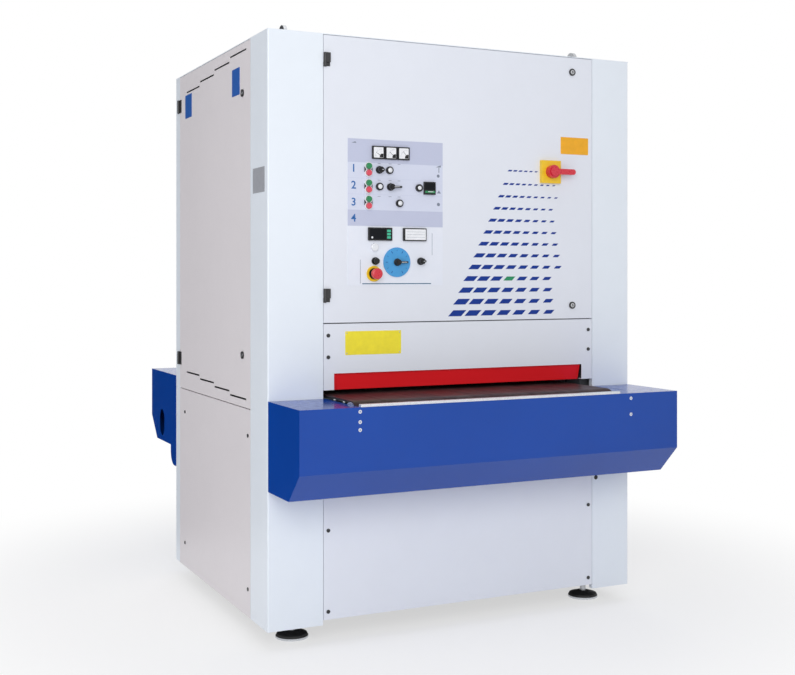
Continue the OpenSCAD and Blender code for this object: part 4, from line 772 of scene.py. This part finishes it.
def trim():
    """Strip on the infeed lip, screws, plug, rims of the foot pads and the back's rubber strip."""
    plaque("infeed_strip", rounded(*INFEED_STRIP), LIP_Z, 8.6, 1.6, TOP_FACE, "alloy",
           "table")
    turned("cover_top_screws", dome(6.5, 4, 1.6), TOP_SCREWS, TOP_FACE, "alloy", "table",
           24)
    spun("cover_face_screws", PAN_HEAD, [(x, z, COVER_OUT) for x, z in FACE_SCREWS], "alloy",
         "table", 20)
    spun("column_plug", dome(9, 1.2, 0.3), [PLUG], "black", "cabinet", segments=32)
    low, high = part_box("foot_pads")
    spots = [((x - LEFT) / MM, (y - FRONT) / MM, 0.2)
             for x in (low[0] + PAD_R, high[0] - PAD_R) for y in (low[1] + PAD_R, high[1] - PAD_R)]
    turned("pad_rims", PAD_RIM, spots, TOP_FACE, "alloy", "cabinet", 48)
    plaque("back_strip", rounded(*BACK_STRIP), 0.0, 12, 1.5, BACK_FACE, "rubber", "cabinet")


# Lozenges of the front door: rows, columns, right-hand limit and the place of the green one
LOZENGE_ROWS = 13
LOZENGE_COLUMNS = 9
LOZENGE_LIMIT = 1222
GREEN_AT = (9, 3)


def lozenge_field():
    """A field of slanted lozenges: straight rows that grow towards the lower left."""
    blue = []
    green = []
    for r in range(LOZENGE_ROWS):
        # Size of the row's lozenges, its height and its left end, from the top row to the lowest
        share = r / (LOZENGE_ROWS - 1)
        size = 12 + 30 * share
        z = 1745 - 555 * share ** 0.95
        first = 1000 - 235 * share
        for c in range(LOZENGE_COLUMNS):
            fade = 1 - 0.055 * c
            w, h = size * fade * 1.35, size * fade * 0.55
            x = first + c * (size * 1.5 + 6)
            if x > LOZENGE_LIMIT:
                continue
            lean = 0.5 * h
            shape = [(x - w / 2 - lean, z - h / 2), (x + w / 2 - lean, z - h / 2),
                     (x + w / 2 + lean, z + h / 2), (x - w / 2 + lean, z + h / 2)]
            (green if (r, c) == GREEN_AT else blue).append(polygon_outline(shape))
    for name, shapes, ink, slot in (("lozenges_blue", blue, "ink_deep", "cover_blue"),
                                    ("lozenges_green", green, "ink_green", "start_green")):
        plaque(name, shapes, 0.0, 0.3, 0.1, FRONT_FACE, ink, "front_door")


# Devices on the electrical plate, in rows of count, pitch, depth, foot and height
INVERTERS = (4, 180.7, 110, 1799.4, 250.3)
CONTACTORS = (9, 85.2, 80, 1570.1, 89.9)
TERMINALS = (14, 60.2, 60, 1360.1, 69.7)
GEAR_X = 332.0
GEAR_Y = 213.7
GEAR_GAP = 20
DUCT_Z = (1300, 1500, 1730)
DUCT_H = 44

# Steps from the middle of a device to each of its three or four like parts
OF_THREE = (-1, 0, 1)
OF_FOUR = (-1.5, -0.5, 0.5, 1.5)


def gear_middles(count, pitch):
    return [GEAR_X + i * pitch + (pitch - GEAR_GAP) / 2 for i in range(count)]


def electrical_pieces():
    """Faces, terminals and wiring ducts of the devices behind the front door."""
    def on_gear(name, outlines, material, base, height, edge=0.6):
        plaque(name, outlines, base, height, edge, FRONT_FACE, material, "cabinet")

    faces, windows, vents, terminals = [], [], [], []
    count, pitch, depth, z, h = INVERTERS
    for x in gear_middles(count, pitch):
        faces.append(rounded(x, z + 0.52 * h, pitch - 36, 0.66 * h, 5))
        windows.append(rounded(x, z + 0.68 * h, 70, 30, 3))
        vents += [rounded(x, z + 0.9 * h + 6 * k, pitch - 40, 2.4, 1) for k in OF_THREE]
        terminals += [rounded(x + 18 * (k - 2.5), z + 16, 13, 16, 2) for k in range(6)]
    out = depth - GEAR_Y
    on_gear("inverter_faces", faces, "gear_dark", out, 3.5)
    on_gear("inverter_windows", windows, "dark", out + 3.5, 0.8, 0.3)
    on_gear("inverter_vents", vents, "gear_dark", out, 1.2, 0.3)
    on_gear("inverter_terminals", terminals, "green", out, 5)

    coils, clamps = [], []
    count, pitch, depth, z, h = CONTACTORS
    for x in gear_middles(count, pitch):
        coils.append(rounded(x, z + h / 2, pitch - 30, 0.4 * h, 3))
        clamps += [rounded(x + 17 * k, z + side, 11, 11, 1.5) for k in OF_THREE
                   for side in (9, h - 9)]
    out = depth - GEAR_Y
    on_gear("contactor_coils", coils, "gear_dark", out, 9, 1.2)
    on_gear("contactor_clamps", clamps, "zinc", out, 1.6, 0.4)

    blocks, screws = [], []
    count, pitch, depth, z, h = TERMINALS
    out = depth - GEAR_Y
    for x in gear_middles(count, pitch):
        blocks += [rounded(x + 10 * k, z + h / 2, 8.4, h - 8, 1) for k in OF_FOUR]
        screws += [(x + 10 * k, z + side, out + 3) for k in OF_FOUR for side in (14, h - 14)]
    on_gear("terminal_blocks", blocks, "duct", out, 3, 0.8)
    spun("terminal_screws", dome(2.6, 0.8, 0.2), screws, "zinc", "cabinet", 12)

    # Slotted wiring ducts between the rows
    for k, z in enumerate(DUCT_Z):
        on_gear("duct_%d" % (k + 1), rounded(GEAR_X + 360, z, 860, 36, 2), "duct", -GEAR_Y,
                DUCT_H, 1.5)
        slots = [rounded(GEAR_X - 60 + 14 * i, z + side, 6, 13, 1)
                 for i in range(61) for side in (-10.5, 10.5)]
        on_gear("duct_slots_%d" % (k + 1), slots, "gear_dark", DUCT_H - GEAR_Y, 0.4, 0.1)


# Motors on the right face: name, axis y and z, left end, length, radius, height of the ribs,
# place of the end cover, and radius of the bolt circle or 0 for none
MOTORS = (("main_motor", 830, 1600, -628, 330, 125, 12, -646, 141),
          ("brush_motor", 850, 1032, -192, 120, 75, 8, -66, 0))

# Ribs round a motor, and the place of its bolt heads along its axis
RIB_COUNT = 36
BOLT_W = -282.0


def ribs(name, cx, cy, start, length, r, height):
    """Cooling ribs along a motor's axis."""
    bm = bmesh.new()
    for k in range(RIB_COUNT):
        a = 2 * math.pi * k / RIB_COUNT
        ex, ey = math.cos(a), math.sin(a)
        corners = []
        for out, side in ((r - 2, -2.6), (r - 2, 2.6), (r + height, 1.4), (r + height, -1.4)):
            corners.append((cx + out * ex - side * ey, cy + out * ey + side * ex))
        low = [bm.verts.new((x, y, start)) for x, y in corners]
        high = [bm.verts.new((x, y, start + length)) for x, y in corners]
        bm.faces.new(list(reversed(low)))
        bm.faces.new(high)
        for i in range(4):
            j = (i + 1) % 4
            bm.faces.new((low[i], low[j], high[j], high[i]))
    add_mesh(name, bm, RIGHT_FACE, "motor", "cabinet")


def motor_pieces():
    """Ribs, end covers and bolts of the main motor and the brush motor, their axes along X."""
    for name, y, z, left, length, r, height, cover, bolt_r in MOTORS:
        ribs(name + "_ribs", y, z, left, length, r, height)
        rim = r + height + 1
        turned(name + "_cover", [(r + 0.4, 0), (rim, 2), (rim, 12), (r + 0.4, 14)],
               [(y, z, cover)], RIGHT_FACE, "motor", "cabinet", 56)
        if bolt_r:
            spots = []
            for k in range(4):
                t = math.radians(45 + 90 * k)
                spots.append((y + bolt_r * math.cos(t), z + bolt_r * math.sin(t), BOLT_W))
            turned(name + "_bolts", MOTOR_BOLT, spots, RIGHT_FACE, "zinc", "cabinet",
                   6)


meters()
displays()
lamps()
buttons()
dial()
plate_marks()
electrical_pieces()
motor_pieces()
row_numbers()
knobs()
bare_plates()
lock_pieces()
trim()
lozenge_field()

# Floor: radius, where its shadow starts to fade and is gone, and its white near the object
FLOOR_R = 60.0
FADE_FROM = 1.2
FADE_TO = 2.6
NEAR_WHITE = 0.6

# Ambient light, and the dark screen's width and height, its distance behind the cabinet
AMBIENT = (0.94, 0.96, 1.0, 1.0)
AMBIENT_STRENGTH = 0.47
SCREEN_W = 3.0
SCREEN_H = 3.4
SCREEN_BEHIND = 0.55

# Lamps: name, place, target, size and watts
LAMPS = (("key", (-2.4, -5.2, 2.6), (0.0, 0.0, 1.1), (3.6, 3.2), 131.0),
         ("left", (-5.2, 0.4, 2.2), (-0.8, 0.0, 1.1), (3.0, 2.6), 36.0),
         ("rear", (2.6, 5.4, 2.8), (0.0, 0.0, 1.1), (3.2, 3.0), 62.0),
         ("top", (0.0, -0.6, 5.2), (0.0, 0.0, 0.0), (3.6, 3.6), 30.0))

# Camera of the photograph: steps from the cabinet's front middle, its height, and its lens
CAMERA_LEFT = 2.195
CAMERA_BACK = 4.012
CAMERA_Z = 1.3345
CAMERA_FORWARD = (0.4325, 0.9017, 0.0)
CAMERA_LENS = 53.91
CAMERA_SHIFT = -0.078


def seen_rays(tree):
    """Socket that is 1 for the rays that see the background: camera, mirrored and passed."""
    path = tree.nodes.new("ShaderNodeLightPath")
    seen = path.outputs["Is Camera Ray"]
    for kind in ("Is Glossy Ray", "Is Transmission Ray"):
        n = tree.nodes.new("ShaderNodeMath")
        n.operation = "MAXIMUM"
        tree.links.new(seen, n.inputs[0])
        tree.links.new(path.outputs[kind], n.inputs[1])
        seen = n.outputs[0]
    return seen


def stage_object(name, mesh, material):
    """Adds a mesh that belongs to the studio and not to the object."""
    mesh.materials.append(material)
    obj = bpy.data.objects.new(name, mesh)
    bpy.context.scene.collection.objects.link(obj)
    return obj


def floor():
    """Pale floor that keeps the object's shadow and turns white with distance."""
    s = Surface("floor_pale", 0.9, specular=0.1)
    s.set("Base Color", linear(246, 246, 247))
    reach = s.node("ShaderNodeVectorMath", operation="LENGTH")
    s.link(s.place, reach.inputs[0])
    far = s.node("ShaderNodeMapRange", interpolation_type="SMOOTHSTEP")
    far.inputs["From Min"].default_value = FADE_FROM
    far.inputs["From Max"].default_value = FADE_TO
    far.inputs["To Min"].default_value = NEAR_WHITE
    s.link(reach.outputs["Value"], far.inputs["Value"])
    fade = s.node("ShaderNodeMath", operation="MULTIPLY")
    s.link(far.outputs["Result"], fade.inputs[0])
    s.link(seen_rays(s.tree), fade.inputs[1])
    glow = s.node("ShaderNodeEmission")
    glow.inputs["Strength"].default_value = 1.0
    blend = s.node("ShaderNodeMixShader")
    s.link(fade.outputs[0], blend.inputs["Fac"])
    s.link(s.shader.outputs["BSDF"], blend.inputs[1])
    s.link(glow.outputs["Emission"], blend.inputs[2])
    output = s.tree.nodes["Material Output"]
    s.link(blend.outputs["Shader"], output.inputs["Surface"])
    mesh = bpy.data.meshes.new("floor")
    bm = bmesh.new()
    bmesh.ops.create_circle(bm, cap_ends=True, segments=96, radius=FLOOR_R)
    bm.to_mesh(mesh)
    bm.free()
    stage_object("floor", mesh, s.material)


def dark_screen():
    """Screen beyond the left side that only mirrored rays see, so that blue sides stay deep."""
    s = Surface("screen_dark", 0.9, specular=0.0)
    tone = s.ramp(s.noise(3.0))
    s.colour(s.mix(tone, linear(10, 12, 16), linear(18, 20, 24)))
    mesh = bpy.data.meshes.new("dark_screen")
    right = LEFT - 0.01
    left = right - SCREEN_W
    y = FRONT + CAB_D * MM + SCREEN_BEHIND
    low = 0.01
    corners = [(left, y, low), (right, y, low), (right, y, SCREEN_H), (left, y, SCREEN_H)]
    mesh.from_pydata(corners, [], [(0, 1, 2, 3)])
    obj = stage_object("dark_screen", mesh, s.material)
    obj.visible_camera = False
    obj.visible_diffuse = False
    obj.visible_shadow = False
    obj.visible_transmission = False


def world():
    """Even ambient light on the object, and white for the rays that see the background."""
    w = bpy.data.worlds.new("studio")
    bpy.context.scene.world = w
    w.use_nodes = True
    tree = w.node_tree
    tree.nodes.clear()
    out = tree.nodes.new("ShaderNodeOutputWorld")
    ambient = tree.nodes.new("ShaderNodeBackground")
    ambient.inputs["Color"].default_value = AMBIENT
    ambient.inputs["Strength"].default_value = AMBIENT_STRENGTH
    white = tree.nodes.new("ShaderNodeBackground")
    white.inputs["Color"].default_value = (1.0, 1.0, 1.0, 1.0)
    blend = tree.nodes.new("ShaderNodeMixShader")
    tree.links.new(seen_rays(tree), blend.inputs["Fac"])
    tree.links.new(ambient.outputs["Background"], blend.inputs[1])
    tree.links.new(white.outputs["Background"], blend.inputs[2])
    tree.links.new(blend.outputs["Shader"], out.inputs["Surface"])


def softbox(name, place, target, size, watts):
    data = bpy.data.lights.new(name, "AREA")
    data.shape = "RECTANGLE"
    data.size, data.size_y = size
    data.energy = watts
    lamp = bpy.data.objects.new(name, data)
    lamp.location = place
    aim = Vector(target) - Vector(place)
    lamp.rotation_euler = aim.to_track_quat("-Z", "Y").to_euler()
    bpy.context.scene.collection.objects.link(lamp)


def camera():
    """Level camera of the photograph, placed from the cabinet's middle and front plane."""
    data = bpy.data.cameras.new("photo_camera")
    data.sensor_width = 36.0
    data.lens = CAMERA_LENS
    data.shift_y = CAMERA_SHIFT
    data.clip_end = 200.0
    cam = bpy.data.objects.new("photo_camera", data)
    middle = LEFT + CAB_W * MM / 2
    cam.location = (middle - CAMERA_LEFT, FRONT - CAMERA_BACK, CAMERA_Z)
    cam.rotation_euler = Vector(CAMERA_FORWARD).to_track_quat("-Z", "Y").to_euler()
    bpy.context.scene.collection.objects.link(cam)
    bpy.context.scene.camera = cam


floor()
dark_screen()
world()
for lamp in LAMPS:
    softbox(*lamp)
camera()
bpy.context.scene.view_settings.view_transform = "Standard"
bpy.context.scene.view_settings.look = "None"
